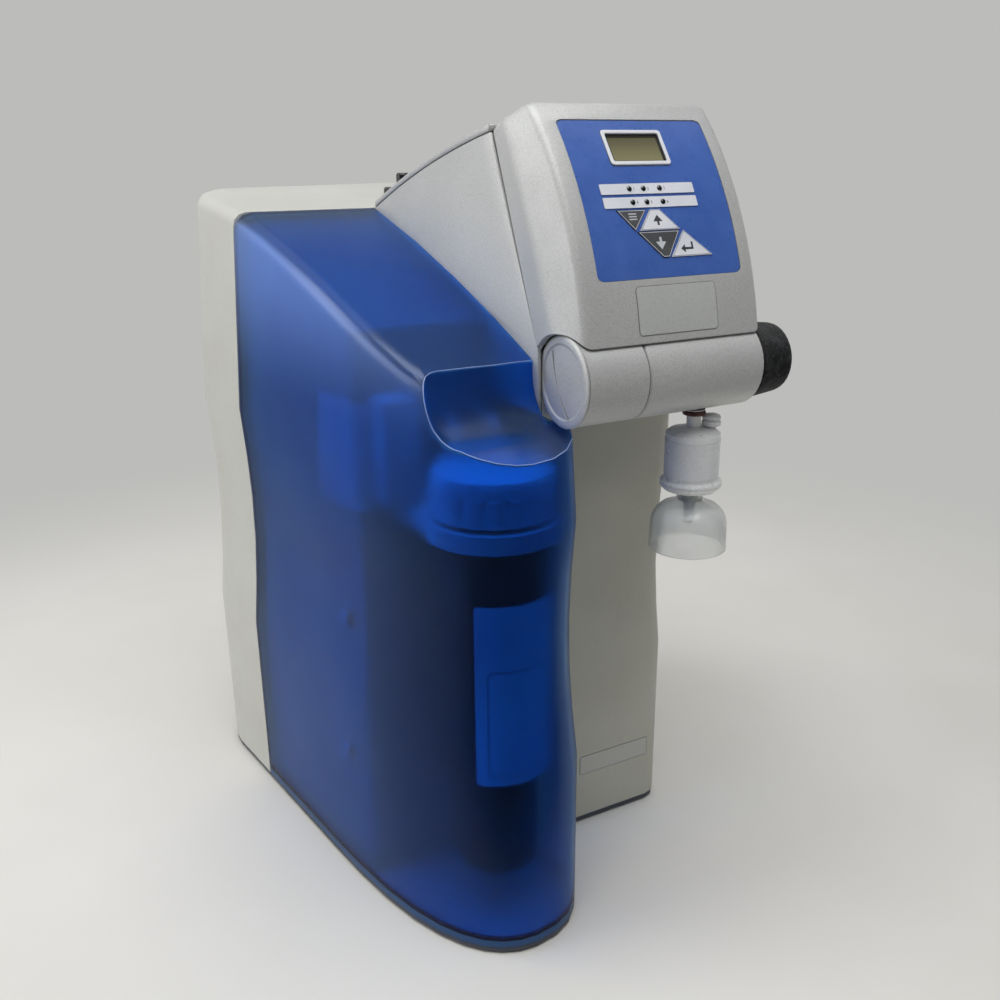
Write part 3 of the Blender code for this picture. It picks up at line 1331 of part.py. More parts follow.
def make_knob():
    """The knob turns the valve's spindle. Both have their origin on the arm's axis."""
    start_x = ARM_RIGHT_X + KNOB_GROOVE
    rod("valve_spindle", (ARM_RIGHT_X - SPINDLE_DEPTH, ARM_Y, ARM_Z), (1.0, 0.0, 0.0), SPINDLE_RADIUS,
        SPINDLE_DEPTH + KNOB_GROOVE + SPINDLE_REACH, steel(), 16, 0.2 * SPINDLE_RADIUS)
    socket = SPINDLE_RADIUS + GAP
    profile = [(0.0, KNOB_LENGTH), (0.55 * KNOB_RADIUS, KNOB_LENGTH)]
    for share in EDGE_SHARES:
        angle = 0.5 * math.pi * share
        profile.append((KNOB_END_RADIUS - KNOB_EDGE * (1.0 - math.sin(angle)),
                        KNOB_LENGTH - KNOB_EDGE * (1.0 - math.cos(angle))))
    profile += [(KNOB_RADIUS, 0.2 * KNOB_EDGE), (KNOB_RADIUS - 0.2 * KNOB_EDGE, 0.0), (socket, 0.0),
                (socket, SPINDLE_REACH + GAP), (0.0, SPINDLE_REACH + GAP)]
    place = (start_x, ARM_Y, ARM_Z)
    smooth(turned("dispense_knob", profile, place, (1.0, 0.0, 0.0), black_rubber(), 36), 40.0)


def make_outlet():
    """The nipple is pressed up into the arm, and the filter's neck slides over it on an O-ring."""
    arm_low_z = ARM_Z - ARM_RADIUS
    seat_z = arm_low_z + NIPPLE_SEAT
    collar_top = arm_low_z - GAP
    collar_low = collar_top - NIPPLE_COLLAR_HEIGHT
    place = (OUTLET_X, ARM_Y, 0.0)
    ring_z = collar_low - O_RING_SECTION - GAP
    ring_low_z = ring_z - O_RING_SECTION
    nipple = [(NIPPLE_BORE_RADIUS, seat_z), (NIPPLE_RADIUS, seat_z), (NIPPLE_RADIUS, collar_top),
              (NIPPLE_COLLAR_RADIUS, collar_top), (NIPPLE_COLLAR_RADIUS, collar_low),
              (NIPPLE_RADIUS, collar_low), (NIPPLE_RADIUS, ring_low_z), (NIPPLE_TIP_RADIUS, ring_low_z),
              (NIPPLE_TIP_RADIUS, NIPPLE_TIP_Z), (NIPPLE_BORE_RADIUS, NIPPLE_TIP_Z)]
    smooth(turned("outlet_nipple", nipple, place, material=silver_grey(), steps=16, closed=True))
    ring_radius = NIPPLE_RADIUS + O_RING_SECTION + GAP
    ring = []
    for share in RING_SHARES:
        angle = 2.0 * math.pi * share
        reach = ring_radius + O_RING_SECTION * math.cos(angle)
        ring.append((reach, ring_z - O_RING_SECTION * math.sin(angle)))
    smooth(turned("outlet_o_ring", ring, place, material=red_rubber(), steps=18, closed=True), 60.0)
    return ring_low_z


def make_filter(ring_low_z):
    place = (OUTLET_X, ARM_Y, 0.0)
    neck_top = ring_low_z - GAP
    port = NIPPLE_TIP_RADIUS + GAP
    inside = FILTER_BODY_RADIUS - FILTER_WALL
    upper = [(port, neck_top), (FILTER_NECK_RADIUS, neck_top), (FILTER_NECK_RADIUS, FILTER_SHOULDER_Z)]
    for reach_share, fall_share in FILTER_SHOULDER_SHARES:
        height = FILTER_SHOULDER_Z - FILTER_SHOULDER_FALL * fall_share
        upper.append((FILTER_BODY_RADIUS * reach_share, height))
    ceiling = FILTER_SHOULDER_Z - FILTER_SHOULDER_FALL - FILTER_WALL
    seam_z = FILTER_FLANGE_SEAM_Z + GAP
    upper += [(FILTER_BODY_RADIUS, FILTER_FLANGE_TOP_Z + FILTER_WALL),
              (0.5 * (FILTER_BODY_RADIUS + FILTER_FLANGE_RADIUS), FILTER_FLANGE_TOP_Z + 0.3 * FILTER_WALL),
              (FILTER_FLANGE_RADIUS, FILTER_FLANGE_TOP_Z), (FILTER_FLANGE_RADIUS, seam_z),
              (inside, seam_z), (inside, ceiling),
              (port, FILTER_SHOULDER_Z - 2.0 * FILTER_WALL)]
    shell = turned("filter_upper_shell", upper, place, material=frosted_plastic(), steps=24, closed=True)
    vent_place = (OUTLET_X + VENT_OFFSET_X, ARM_Y + VENT_OFFSET_Y, 0.0)
    boss_low = FILTER_SHOULDER_Z - 1.5 * FILTER_WALL
    boss_top = FILTER_SHOULDER_Z
    join(shell, rod("vent_boss", (vent_place[0], vent_place[1], boss_low), (0.0, 0.0, 1.0), VENT_BOSS_RADIUS,
                    boss_top - boss_low, steps=16))
    smooth(shell)
    cap = [(0.0, VENT_CAP_HEIGHT), (0.5 * VENT_CAP_RADIUS, 0.96 * VENT_CAP_HEIGHT),
           (0.82 * VENT_CAP_RADIUS, 0.82 * VENT_CAP_HEIGHT), (VENT_CAP_RADIUS, 0.55 * VENT_CAP_HEIGHT),
           (VENT_CAP_RADIUS, 0.1 * VENT_CAP_HEIGHT), (0.9 * VENT_CAP_RADIUS, 0.0), (0.0, 0.0)]
    cap_place = (vent_place[0], vent_place[1], boss_top + GAP)
    smooth(turned("filter_vent_cap", cap, cap_place, material=frosted_plastic(), steps=20))
    disc_top = FILTER_FLANGE_SEAM_Z - FILTER_WALL
    rod("filter_membrane", (OUTLET_X, ARM_Y, disc_top - DISC_THICKNESS), (0.0, 0.0, 1.0), DISC_RADIUS,
        DISC_THICKNESS, white_plastic(), 24)
    floor_top = disc_top - DISC_THICKNESS - GAP
    stem_bore = 0.5 * FILTER_STEM_RADIUS
    lower = [(DISC_RADIUS + GAP, FILTER_FLANGE_SEAM_Z), (FILTER_FLANGE_RADIUS, FILTER_FLANGE_SEAM_Z),
             (FILTER_FLANGE_RADIUS, FILTER_FLANGE_SEAM_Z - FILTER_WALL),
             (FILTER_BODY_RADIUS, FILTER_FLANGE_LOW_Z), (FILTER_SPOUT_RADIUS, FILTER_FLANGE_LOW_Z),
             (FILTER_SPOUT_RADIUS, FILTER_SPOUT_LOW_Z), (FILTER_STEM_RADIUS, FILTER_SPOUT_LOW_Z),
             (FILTER_STEM_RADIUS, FILTER_STEM_LOW_Z), (stem_bore, FILTER_STEM_LOW_Z),
             (stem_bore, floor_top), (DISC_RADIUS + GAP, floor_top)]
    smooth(turned("filter_lower_shell", lower, place, material=frosted_plastic(), steps=24, closed=True))
    make_bell(place)


def make_bell(place):
    """The splash guard: a thin bell whose collar is pressed on the lower shell's spout."""
    hole = FILTER_SPOUT_RADIUS + GAP
    fall = BELL_TOP_Z - BELL_LOW_Z
    outer = [(hole, BELL_COLLAR_TOP_Z), (BELL_COLLAR_RADIUS, BELL_COLLAR_TOP_Z),
             (BELL_COLLAR_RADIUS, BELL_TOP_Z)]
    inner = []
    for reach_share, fall_share in BELL_SHARES:
        radius = BELL_RADIUS * reach_share
        outer.append((radius, BELL_TOP_Z - fall * fall_share))
        inner.append((radius - BELL_WALL, BELL_TOP_Z - BELL_WALL - (fall - BELL_WALL) * fall_share))
    inner.append((hole, BELL_TOP_Z - BELL_WALL))
    turn = outer + sorted(inner, key=lambda point: -point[0])
    smooth(turned("filter_bell", turn, place, material=frosted_plastic(), steps=28, closed=True))


def ribbed_outline(radius, ribs, depth):
    """A round outline with ribs: each has a flat crest and a sharp valley."""
    outline = []
    for index in range(ribs):
        start = 2.0 * math.pi * index / ribs
        pitch = 2.0 * math.pi / ribs
        for share, reach in ((0.0, radius), (0.5, radius), (0.75, radius - depth)):
            angle = start + pitch * share
            outline.append((reach * math.cos(angle), reach * math.sin(angle)))
    return outline


def make_cartridge():
    place = (CARTRIDGE_X, CARTRIDGE_Y, 0.0)
    edge_radius = CARTRIDGE_RADIUS - CARTRIDGE_EDGE
    body = [(0.0, CARTRIDGE_NECK_TOP_Z), (CARTRIDGE_NECK_RADIUS, CARTRIDGE_NECK_TOP_Z),
            (CARTRIDGE_NECK_RADIUS, CARTRIDGE_TOP_Z), (edge_radius, CARTRIDGE_TOP_Z),
            (CARTRIDGE_RADIUS, CARTRIDGE_TOP_Z - CARTRIDGE_EDGE),
            (CARTRIDGE_RADIUS, CARTRIDGE_LOW_Z + CARTRIDGE_EDGE),
            (edge_radius, CARTRIDGE_LOW_Z), (0.0, CARTRIDGE_LOW_Z)]
    smooth(turned("cartridge_body", body, place, material=dark_plastic(), steps=28))
    end_top = CARTRIDGE_LOW_Z - GAP
    end = [(0.0, end_top), (LOWER_END_RADIUS, end_top), (LOWER_END_RADIUS, LOWER_END_Z + LOWER_END_EDGE),
           (LOWER_END_RADIUS - 0.3 * LOWER_END_EDGE, LOWER_END_Z + 0.3 * LOWER_END_EDGE),
           (LOWER_END_RADIUS - LOWER_END_EDGE, LOWER_END_Z), (0.0, LOWER_END_Z)]
    smooth(turned("cartridge_lower_end", end, place, material=dark_plastic(), steps=28))
    cap = sheet_solid("cartridge_cap", ribbed_outline(CARTRIDGE_CAP_RADIUS, CAP_RIBS, CAP_RIB_DEPTH),
                      CAP_RIB_Z - CAP_SKIRT_Z, white_plastic(), Matrix.Translation(place), CAP_SKIRT_Z)
    crown_radius = CARTRIDGE_CAP_RADIUS - 0.4 * CAP_RIB_DEPTH
    crown = [(0.0, CAP_TOP_Z), (crown_radius - CARTRIDGE_CAP_EDGE, CAP_TOP_Z),
             (crown_radius - 0.3 * CARTRIDGE_CAP_EDGE, CAP_TOP_Z - 0.3 * CARTRIDGE_CAP_EDGE),
             (crown_radius, CAP_TOP_Z - CARTRIDGE_CAP_EDGE), (crown_radius, CAP_RIB_Z - 0.5 * CAP_RIB_DEPTH),
             (0.0, CAP_RIB_Z - 0.5 * CAP_RIB_DEPTH)]
    join(cap, turned("cartridge_crown", crown, place, steps=28))
    cut(cap, rod("cartridge_cap_socket", (CARTRIDGE_X, CARTRIDGE_Y, CAP_SKIRT_Z - OVERRUN), (0.0, 0.0, 1.0),
                 CARTRIDGE_NECK_RADIUS + GAP, CARTRIDGE_NECK_TOP_Z - CAP_SKIRT_Z + GAP + OVERRUN, steps=28))
    for side in (-1.0, 1.0):
        foot = (CARTRIDGE_X + side * PORT_OFFSET, PORT_Y, CAP_TOP_Z - OVERRUN)
        join(cap, rod("cap_port", foot, (0.0, 0.0, 1.0), PORT_RADIUS, PORT_HEIGHT + OVERRUN, steps=16))
    smooth(cap)
    housing_y = PANEL_Y + PANEL_DEPTH + GAP
    for side, name in ((-1.0, "cartridge_hose_in"), (1.0, "cartridge_hose_out")):
        x = CARTRIDGE_X + side * PORT_OFFSET
        low_z = CAP_TOP_Z + PORT_HEIGHT + GAP
        top_z = low_z + HOSE_RISE
        route = [(x, PORT_Y, low_z), (x, PORT_Y, top_z), (x, housing_y - GAP, top_z)]
        hose(name, route, HOSE_RADIUS, clear_hose())
    ring = rod("cartridge_bracket", (CARTRIDGE_X, CARTRIDGE_Y, BRACKET_LOW_Z), (0.0, 0.0, 1.0),
               BRACKET_RADIUS, BRACKET_TOP_Z - BRACKET_LOW_Z, white_plastic(), 36)
    join(ring, box("bracket_arm", (BRACKET_LEFT_X, CARTRIDGE_Y, BRACKET_LOW_Z),
                   (BRACKET_RIGHT_X, housing_y - GAP, BRACKET_TOP_Z)))
    cut(ring, rod("bracket_bore", (CARTRIDGE_X, CARTRIDGE_Y, BRACKET_LOW_Z - OVERRUN), (0.0, 0.0, 1.0),
                  CARTRIDGE_NECK_RADIUS + GAP, BRACKET_TOP_Z - BRACKET_LOW_Z + 2.0 * OVERRUN, steps=36))
    smooth(ring)
    edge = 0.15 * (MANIFOLD_RIGHT_X - MANIFOLD_LEFT_X)
    box("connection_manifold", (MANIFOLD_LEFT_X, MANIFOLD_FRONT_Y, BRACKET_TOP_Z + GAP),
        (MANIFOLD_RIGHT_X, housing_y - GAP, MANIFOLD_TOP_Z), white_plastic(), edge)
    for name, z in (("cover_catch_upper", CATCH_UPPER_Z), ("cover_catch_lower", CATCH_LOWER_Z)):
        low = (CATCH_Y - 0.5 * CATCH_WIDTH, z - 0.5 * CATCH_HEIGHT)
        high = (CATCH_Y + 0.5 * CATCH_WIDTH, z + 0.5 * CATCH_HEIGHT)
        wall_x = min(housing_left_x(y, height) for y in (low[0], high[0]) for height in (low[1], z, high[1]))
        box(name, (wall_x - CATCH_DEPTH, *low), (wall_x - GAP, *high), white_plastic())


def make_inner_parts():
    box("storage_tank", (*TANK_LOW, STAND_Z), (*TANK_HIGH, STAND_Z + TANK_HEIGHT), white_plastic(),
        TANK_EDGE)
    cap = MODULE_CAP_HEIGHT
    under_cap = MODULE_HEIGHT - cap
    module = [(0.0, MODULE_HEIGHT), (MODULE_CAP_RADIUS, MODULE_HEIGHT), (MODULE_CAP_RADIUS, under_cap),
              (MODULE_RADIUS, under_cap), (MODULE_RADIUS, cap), (MODULE_CAP_RADIUS, cap),
              (MODULE_CAP_RADIUS, 0.0), (0.0, 0.0)]
    place = (MODULE_X, MODULE_Y, STAND_Z)
    smooth(turned("osmosis_module", module, place, material=white_plastic(), steps=16))
    head = PUMP_HEAD_HEIGHT
    pump = [(0.0, PUMP_HEIGHT), (PUMP_RADIUS, PUMP_HEIGHT), (PUMP_RADIUS, head), (PUMP_HEAD_RADIUS, head),
            (PUMP_HEAD_RADIUS, 0.0), (0.0, 0.0)]
    body = turned("booster_pump", pump, (PUMP_X, PUMP_Y, STAND_Z), material=steel(), steps=16)
    join(body, rod("pump_port", (PUMP_X, PUMP_Y, STAND_Z + 0.5 * head), (1.0, 0.0, 0.0), PUMP_PORT_RADIUS,
                   PUMP_HEAD_RADIUS + 2.0 * PUMP_PORT_RADIUS, steps=16))
    smooth(body)
    cap = REACTOR_CAP_HEIGHT
    reactor = [(0.0, REACTOR_HEIGHT), (REACTOR_CAP_RADIUS, REACTOR_HEIGHT),
               (REACTOR_CAP_RADIUS, REACTOR_HEIGHT - cap), (REACTOR_RADIUS, REACTOR_HEIGHT - cap),
               (REACTOR_RADIUS, cap), (REACTOR_CAP_RADIUS, cap), (REACTOR_CAP_RADIUS, 0.0), (0.0, 0.0)]
    place = (REACTOR_X, REACTOR_Y, STAND_Z)
    smooth(turned("ultraviolet_reactor", reactor, place, material=steel(), steps=16))
    board = box("control_board", (BOARD_LEFT_X, BOARD_Y, STAND_Z),
                (BOARD_RIGHT_X, BOARD_Y + BOARD_THICKNESS, BOARD_HIGH_Z), board_green())
    for share in BOARD_CHIP_SHARES:
        x = blend(BOARD_LEFT_X, BOARD_RIGHT_X, share)
        z = blend(BOARD_LOW_Z, BOARD_HIGH_Z, share)
        join(board, box("board_chip", (x, BOARD_Y - BOARD_CHIP_HEIGHT, z - BOARD_CHIP),
                        (x + BOARD_CHIP, BOARD_Y + 0.5 * BOARD_THICKNESS, z)))


def make_fittings():
    hole_top = rear_top_height(TOP_PLUG_Y)
    radius = TOP_PLUG_RADIUS
    shank = 0.5 * radius
    rise = REAR_TOP_RISE * radius / (REAR_Y - SEAM_Y)
    for name, x, height in (("top_plug_left", TOP_PLUG_LEFT_X, TOP_PLUG_LEFT_HEIGHT),
                            ("top_plug_right", TOP_PLUG_RIGHT_X, TOP_PLUG_RIGHT_HEIGHT)):
        plug = [(0.0, height), (0.8 * radius, height), (radius, height - 0.25 * radius),
                (radius, rise + GAP), (shank, rise + GAP), (shank, -2.0 * HOUSING_WALL),
                (0.0, -2.0 * HOUSING_WALL)]
        smooth(turned(name, plug, (x, TOP_PLUG_Y, hole_top), material=dark_plastic(), steps=16))
    for name, x in (("feed_connector", FEED_X), ("drain_connector", DRAIN_X)):
        flange = CONNECTOR_FLANGE
        shape = [(CONNECTOR_BORE_RADIUS, CONNECTOR_LENGTH), (0.8 * CONNECTOR_RADIUS, CONNECTOR_LENGTH),
                 (CONNECTOR_RADIUS, CONNECTOR_LENGTH - flange), (CONNECTOR_RADIUS, flange + GAP),
                 (CONNECTOR_FLANGE_RADIUS, flange + GAP), (CONNECTOR_FLANGE_RADIUS, GAP),
                 (CONNECTOR_RADIUS, GAP), (CONNECTOR_RADIUS, -2.0 * HOUSING_WALL),
                 (CONNECTOR_BORE_RADIUS, -2.0 * HOUSING_WALL)]
        place = (x, RECESS_Y, CONNECTOR_Z)
        smooth(turned(name, shape, place, (0.0, 1.0, 0.0), dark_plastic(), 12, closed=True))
    front_y = RECESS_Y + HOUSING_WALL
    socket = box("power_socket", (SOCKET_X - 0.5 * SOCKET_WIDTH, front_y - SOCKET_DEPTH,
                                  CONNECTOR_Z - 0.5 * SOCKET_HEIGHT),
                 (SOCKET_X + 0.5 * SOCKET_WIDTH, front_y, CONNECTOR_Z + 0.5 * SOCKET_HEIGHT), dark_plastic())
    cut(socket, rod("socket_bore", (SOCKET_X, front_y - 0.8 * SOCKET_DEPTH, CONNECTOR_Z), (0.0, 1.0, 0.0),
                    SOCKET_BORE_RADIUS, SOCKET_DEPTH, steps=16))


def main():
    make_base()
    make_rear_housing()
    make_front_housing()
    make_front_panel()
    make_side_cover()
    make_neck()
    make_head()
    make_arm()
    make_filter(make_outlet())
    make_cartridge()
    make_inner_parts()
    make_fittings()


main()
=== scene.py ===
# %% [markdown]
# # An ultrapure water system, dressed over its CAD frame
# The unit stands on a laboratory bench and turns tap water into ultrapure water. A grey moulded cabinet
# carries a tall neck and a slanted display head. Under the head a round dispensing arm ends in a black
# knob, and a small filter hangs from it. A tinted cover slides off the left side, where the cartridge is.
# The solids come from the CAD model and stay as they are. This lesson gives them their finishes and adds
# what the solids leave out: lenses, numbers, marks, bare plates, wraps and screws.

# %% Load the frame
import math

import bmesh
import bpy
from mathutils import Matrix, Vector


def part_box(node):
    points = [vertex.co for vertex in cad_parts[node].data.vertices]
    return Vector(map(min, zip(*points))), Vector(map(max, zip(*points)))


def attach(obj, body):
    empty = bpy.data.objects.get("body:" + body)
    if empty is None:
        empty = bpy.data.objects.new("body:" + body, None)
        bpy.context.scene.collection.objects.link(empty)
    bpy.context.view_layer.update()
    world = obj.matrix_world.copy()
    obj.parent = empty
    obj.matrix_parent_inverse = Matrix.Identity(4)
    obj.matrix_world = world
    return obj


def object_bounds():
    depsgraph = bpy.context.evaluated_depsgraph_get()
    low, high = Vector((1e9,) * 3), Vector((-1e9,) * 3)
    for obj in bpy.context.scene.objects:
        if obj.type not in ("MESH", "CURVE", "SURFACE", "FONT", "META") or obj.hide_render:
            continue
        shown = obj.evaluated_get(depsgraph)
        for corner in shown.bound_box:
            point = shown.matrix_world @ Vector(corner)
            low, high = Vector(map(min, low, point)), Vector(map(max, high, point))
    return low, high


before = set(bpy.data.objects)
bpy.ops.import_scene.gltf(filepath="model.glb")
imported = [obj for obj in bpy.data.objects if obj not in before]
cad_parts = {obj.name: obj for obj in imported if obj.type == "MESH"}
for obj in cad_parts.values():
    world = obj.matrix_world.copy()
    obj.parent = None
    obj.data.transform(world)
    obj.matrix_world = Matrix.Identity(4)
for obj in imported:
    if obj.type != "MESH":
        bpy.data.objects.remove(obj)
cad_low, cad_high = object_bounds()

# %% [markdown]
# ## Units and places
# Blender works in metres and the unit was measured in millimetres, so every length below is written in
# millimetres times MM. Places are measured from one point of the real object: the lower right corner of
# the front panel's flat face. X runs along the face, Y goes back into the cabinet and Z goes up. The six
# directions have names, as seen from the front.

MM = 0.001
PANEL_CORNER = Vector((127.25, -97.75, 0.0)) * MM
LEFTWARDS, RIGHTWARDS = (-1.0, 0.0, 0.0), (1.0, 0.0, 0.0)
FORWARDS, BACKWARDS = (0.0, -1.0, 0.0), (0.0, 1.0, 0.0)
DOWNWARDS, UPWARDS = (0.0, 0.0, -1.0), (0.0, 0.0, 1.0)


def panel_place(across, back, up):
    """A point in the frame, from its distances in metres to the front panel's lower right corner."""
    return PANEL_CORNER + Vector((across, back, up))


print("CAD box in mm:", [round((high - low) / MM, 1) for low, high in zip(cad_low, cad_high)])

# %% [markdown]
# ## The camera
# A camera is placed by where it stands and how it is turned. Aiming it at a point with a constraint is
# quick, but a hand-held picture is a little rolled, which a constraint takes away. So the camera's right
# and up directions are given, and the direction behind it is their cross product. Depth of field stays
# off, because the same camera also serves the views from the sides and the back.

# %% Camera
CAMERA_PLACE = Vector((-321.2, -678.47, 515.0)) * MM
CAMERA_RIGHT = Vector((0.88218, -0.47082, -0.00936))
CAMERA_UP = Vector((0.16048, 0.28189, 0.94593))
CAMERA_LENS = 36.18

camera_data = bpy.data.cameras.new("bench_camera")
camera_data.lens = CAMERA_LENS
camera_data.clip_start = 10.0 * MM
camera = bpy.data.objects.new("bench_camera", camera_data)
bpy.context.scene.collection.objects.link(camera)
camera_turn = Matrix((CAMERA_RIGHT, CAMERA_UP, CAMERA_RIGHT.cross(CAMERA_UP))).transposed()
camera.matrix_world = Matrix.LocRotScale(CAMERA_PLACE, camera_turn.to_quaternion(), None)
bpy.context.scene.camera = camera
bpy.context.scene.view_settings.view_transform = "Standard"
print("camera to front panel in mm:", round((PANEL_CORNER - CAMERA_PLACE).length / MM))

# %% [markdown]
# ## Helpers for every material
# A paint chart or an image editor gives a colour as a hex value in sRGB, and a shader wants linear light.
# One function turns one into the other. A material is a tree of nodes, and each node is made the same
# way: add it, set it, then link or fill its inputs. One function does that for all kinds of node. The
# short functions after it name what comes up again and again: a mix of two colours, a sum or product, a
# value stretched from one range to another, the way a face looks, and noise of a real size.

# %% Colours and nodes
SRGB_KNEE = 0.04045
MIX_A, MIX_B, MIX_RESULT = 6, 7, 2  # the colour sockets of a Mix node, which shares its socket names
SOFT = "SMOOTHSTEP"
SOCKET_NAMES = {"ior": "IOR", "coat_ior": "Coat IOR"}


def linear_colour(hex_value):
    """A linear RGBA colour from an sRGB hex value such as c8c6c0."""
    channels = []
    for index in (0, 2, 4):
        level = int(hex_value[index:index + 2], 16) / 255.0
        channels.append(level / 12.92 if level <= SRGB_KNEE else ((level + 0.055) / 1.055) ** 2.4)
    return (*channels, 1.0)


def add_node(tree, kind, inputs=None, **settings):
    """Adds a node, sets it, then links each input to a socket or fills it with a plain value."""
    node = tree.nodes.new(kind)
    for setting, value in settings.items():
        setattr(node, setting, value)
    for socket, value in (inputs or {}).items():
        if isinstance(value, bpy.types.NodeSocket):
            tree.links.new(value, node.inputs[socket])
        else:
            node.inputs[socket].default_value = value
    return node


def mixed(tree, factor, first, second):
    """A colour between two colours."""
    mix = add_node(tree, "ShaderNodeMix", {0: factor, MIX_A: first, MIX_B: second}, data_type="RGBA")
    return mix.outputs[MIX_RESULT]


def between(tree, factor, first_hex, second_hex):
    """A colour between two hex values."""
    return mixed(tree, factor, linear_colour(first_hex), linear_colour(second_hex))


def worked(tree, operation, first, second):
    """What a Math node makes of two values."""
    return add_node(tree, "ShaderNodeMath", {0: first, 1: second}, operation=operation).outputs[0]


def stretched(tree, value, low, high, least=0.0, most=1.0, kind="LINEAR"):
    """The range from low to high turned into one from least to most, and held beyond its ends."""
    sockets = {"Value": value, "From Min": low, "From Max": high, "To Min": least, "To Max": most}
    return add_node(tree, "ShaderNodeMapRange", sockets, interpolation_type=kind).outputs[0]


def ray(tree, kind):
    """1 for rays of this kind."""
    return add_node(tree, "ShaderNodeLightPath").outputs[kind]


def facing(tree, direction):
    """How far a face looks this way: 1 straight, 0 across, -1 away."""
    normal = add_node(tree, "ShaderNodeNewGeometry").outputs["Normal"]
    dot = add_node(tree, "ShaderNodeVectorMath", {0: normal, 1: direction}, operation="DOT_PRODUCT")
    return dot.outputs["Value"]


def per_metre(size):
    """The scale of a pattern whose features are this many metres wide."""
    return 1.0 / size


def noise_level(tree, place, size, detail=2.0):
    """Soft noise with features of this size."""
    sockets = {"Vector": place, "Scale": per_metre(size), "Detail": detail}
    return add_node(tree, "ShaderNodeTexNoise", sockets).outputs["Fac"]


def noise_field(tree, place, size, detail=2.0, low=0.0, high=1.0, dark=0.35, light=0.65):
    """Soft noise with features of this size, spread so that it runs from low to high."""
    return stretched(tree, noise_level(tree, place, size, detail), dark, light, low, high)


def about(tree, place, size, detail, middle, spread):
    """Soft noise that drifts about a middle value."""
    return noise_field(tree, place, size, detail, middle - spread, middle + spread)


def relief(tree, height, depth, over=None):
    """A bump of this depth, over a surface direction that is already turned."""
    sockets = {"Height": height, "Distance": depth}
    if over is not None:
        sockets["Normal"] = over
    return add_node(tree, "ShaderNodeBump", sockets).outputs[0]


def new_material(name):
    """An empty node material, its tree, and the place of each of its points on the object."""
    material = bpy.data.materials.new(name)
    material.use_nodes = True
    tree = material.node_tree
    tree.nodes.clear()
    return material, tree, add_node(tree, "ShaderNodeTexCoord").outputs["Object"]


def principled(tree, colour, roughness, **others):
    """The standard shader. Other sockets are named with low lines, as in coat_weight."""
    sockets = {"Base Color": colour, "Roughness": roughness}
    for word, value in others.items():
        sockets[SOCKET_NAMES.get(word, word.replace("_", " ").title())] = value
    return add_node(tree, "ShaderNodeBsdfPrincipled", sockets).outputs[0]


def either_shader(tree, share, first, second):
    """One shader that turns to another by a share."""
    return add_node(tree, "ShaderNodeMixShader", {0: share, 1: first, 2: second}).outputs[0]


def end_material(material, shader):
    """Links the last shader to the material's output."""
    add_node(material.node_tree, "ShaderNodeOutputMaterial", {"Surface": shader})
    return material


print("bench grey in linear light:", [round(level, 3) for level in linear_colour("c8c6c0")])

# %% [markdown]
# ## Light
# A studio lights plastic with large soft boxes, because a small lamp gives hard shadows and burnt spots.
# One box hangs over the unit and one stands at its left, and a small one between them draws the bright
# line along the cover's ridge, as a window would. A faint one low in front does what a reflector card
# does: it opens the shadow under the head, and stays out of the gloss. Together with the world they add
# up to about the light at which a colour renders as it is written. The pale background is only what the
# camera, the gloss and the clear plastics see of the world, so it adds no light to the mouldings. A
# backdrop stands behind the set and the room in front of it is dim, so a reflection that looks that way
# finds a dark tone. That is what makes dark gloss look deep.

# %% World and soft boxes
BACKGROUND = linear_colour("bcbcba")
FRONT_ROOM = linear_colour("3c3d40")
SKY_FILL = linear_colour("f2f4f8")
SKY_STRENGTH = 0.22
ROOM_TURN = (0.1, -0.35)  # the y of a direction where the backdrop starts to dim, and where it is dim
OBJECT_CENTRE = Vector((0.0, 0.0, 0.27))
SOFT_BOXES = (  # name, direction from the unit, distance, size, share of full light, seen in gloss
    ("overhead_box", (-0.06, -0.20, 0.98), 2.6, 2.3, 0.90, True),
    ("window_light", (-0.50, 0.42, 0.74), 2.4, 0.5, 0.05, True),
    ("left_box", (-0.85, 0.30, 0.42), 2.4, 1.8, 0.44, True),
    ("front_fill", (0.62, -0.76, 0.08), 2.4, 1.3, 0.05, False),
)


def seen_directly(tree):
    """1 for what the camera, gloss or clear plastic sees, 0 for light that bounces."""
    seen = worked(tree, "MAXIMUM", ray(tree, "Is Camera Ray"), ray(tree, "Is Glossy Ray"))
    return worked(tree, "MAXIMUM", seen, ray(tree, "Is Transmission Ray"))


def studio_colour(tree, place, near, far):
    """The backdrop's colour, which for a reflection turns to the dim room from y = near to y = far."""
    depth = add_node(tree, "ShaderNodeSeparateXYZ", {0: place}).outputs["Y"]
    dim = worked(tree, "MULTIPLY", stretched(tree, depth, near, far, kind=SOFT), ray(tree, "Is Glossy Ray"))
    return mixed(tree, dim, BACKGROUND, FRONT_ROOM), dim


world = bpy.data.worlds.new("studio_world")
bpy.context.scene.world = world
world.use_nodes = True
world_tree = world.node_tree
world_tree.nodes.clear()
looked_at = add_node(world_tree, "ShaderNodeTexCoord").outputs["Generated"]
fill = add_node(world_tree, "ShaderNodeBackground", {"Color": SKY_FILL, "Strength": SKY_STRENGTH})
world_colour, _ = studio_colour(world_tree, looked_at, *ROOM_TURN)
backdrop = add_node(world_tree, "ShaderNodeBackground", {"Color": world_colour, "Strength": 1.0})
sky = either_shader(world_tree, seen_directly(world_tree), fill.outputs[0], backdrop.outputs[0])
add_node(world_tree, "ShaderNodeOutputWorld", {"Surface": sky})


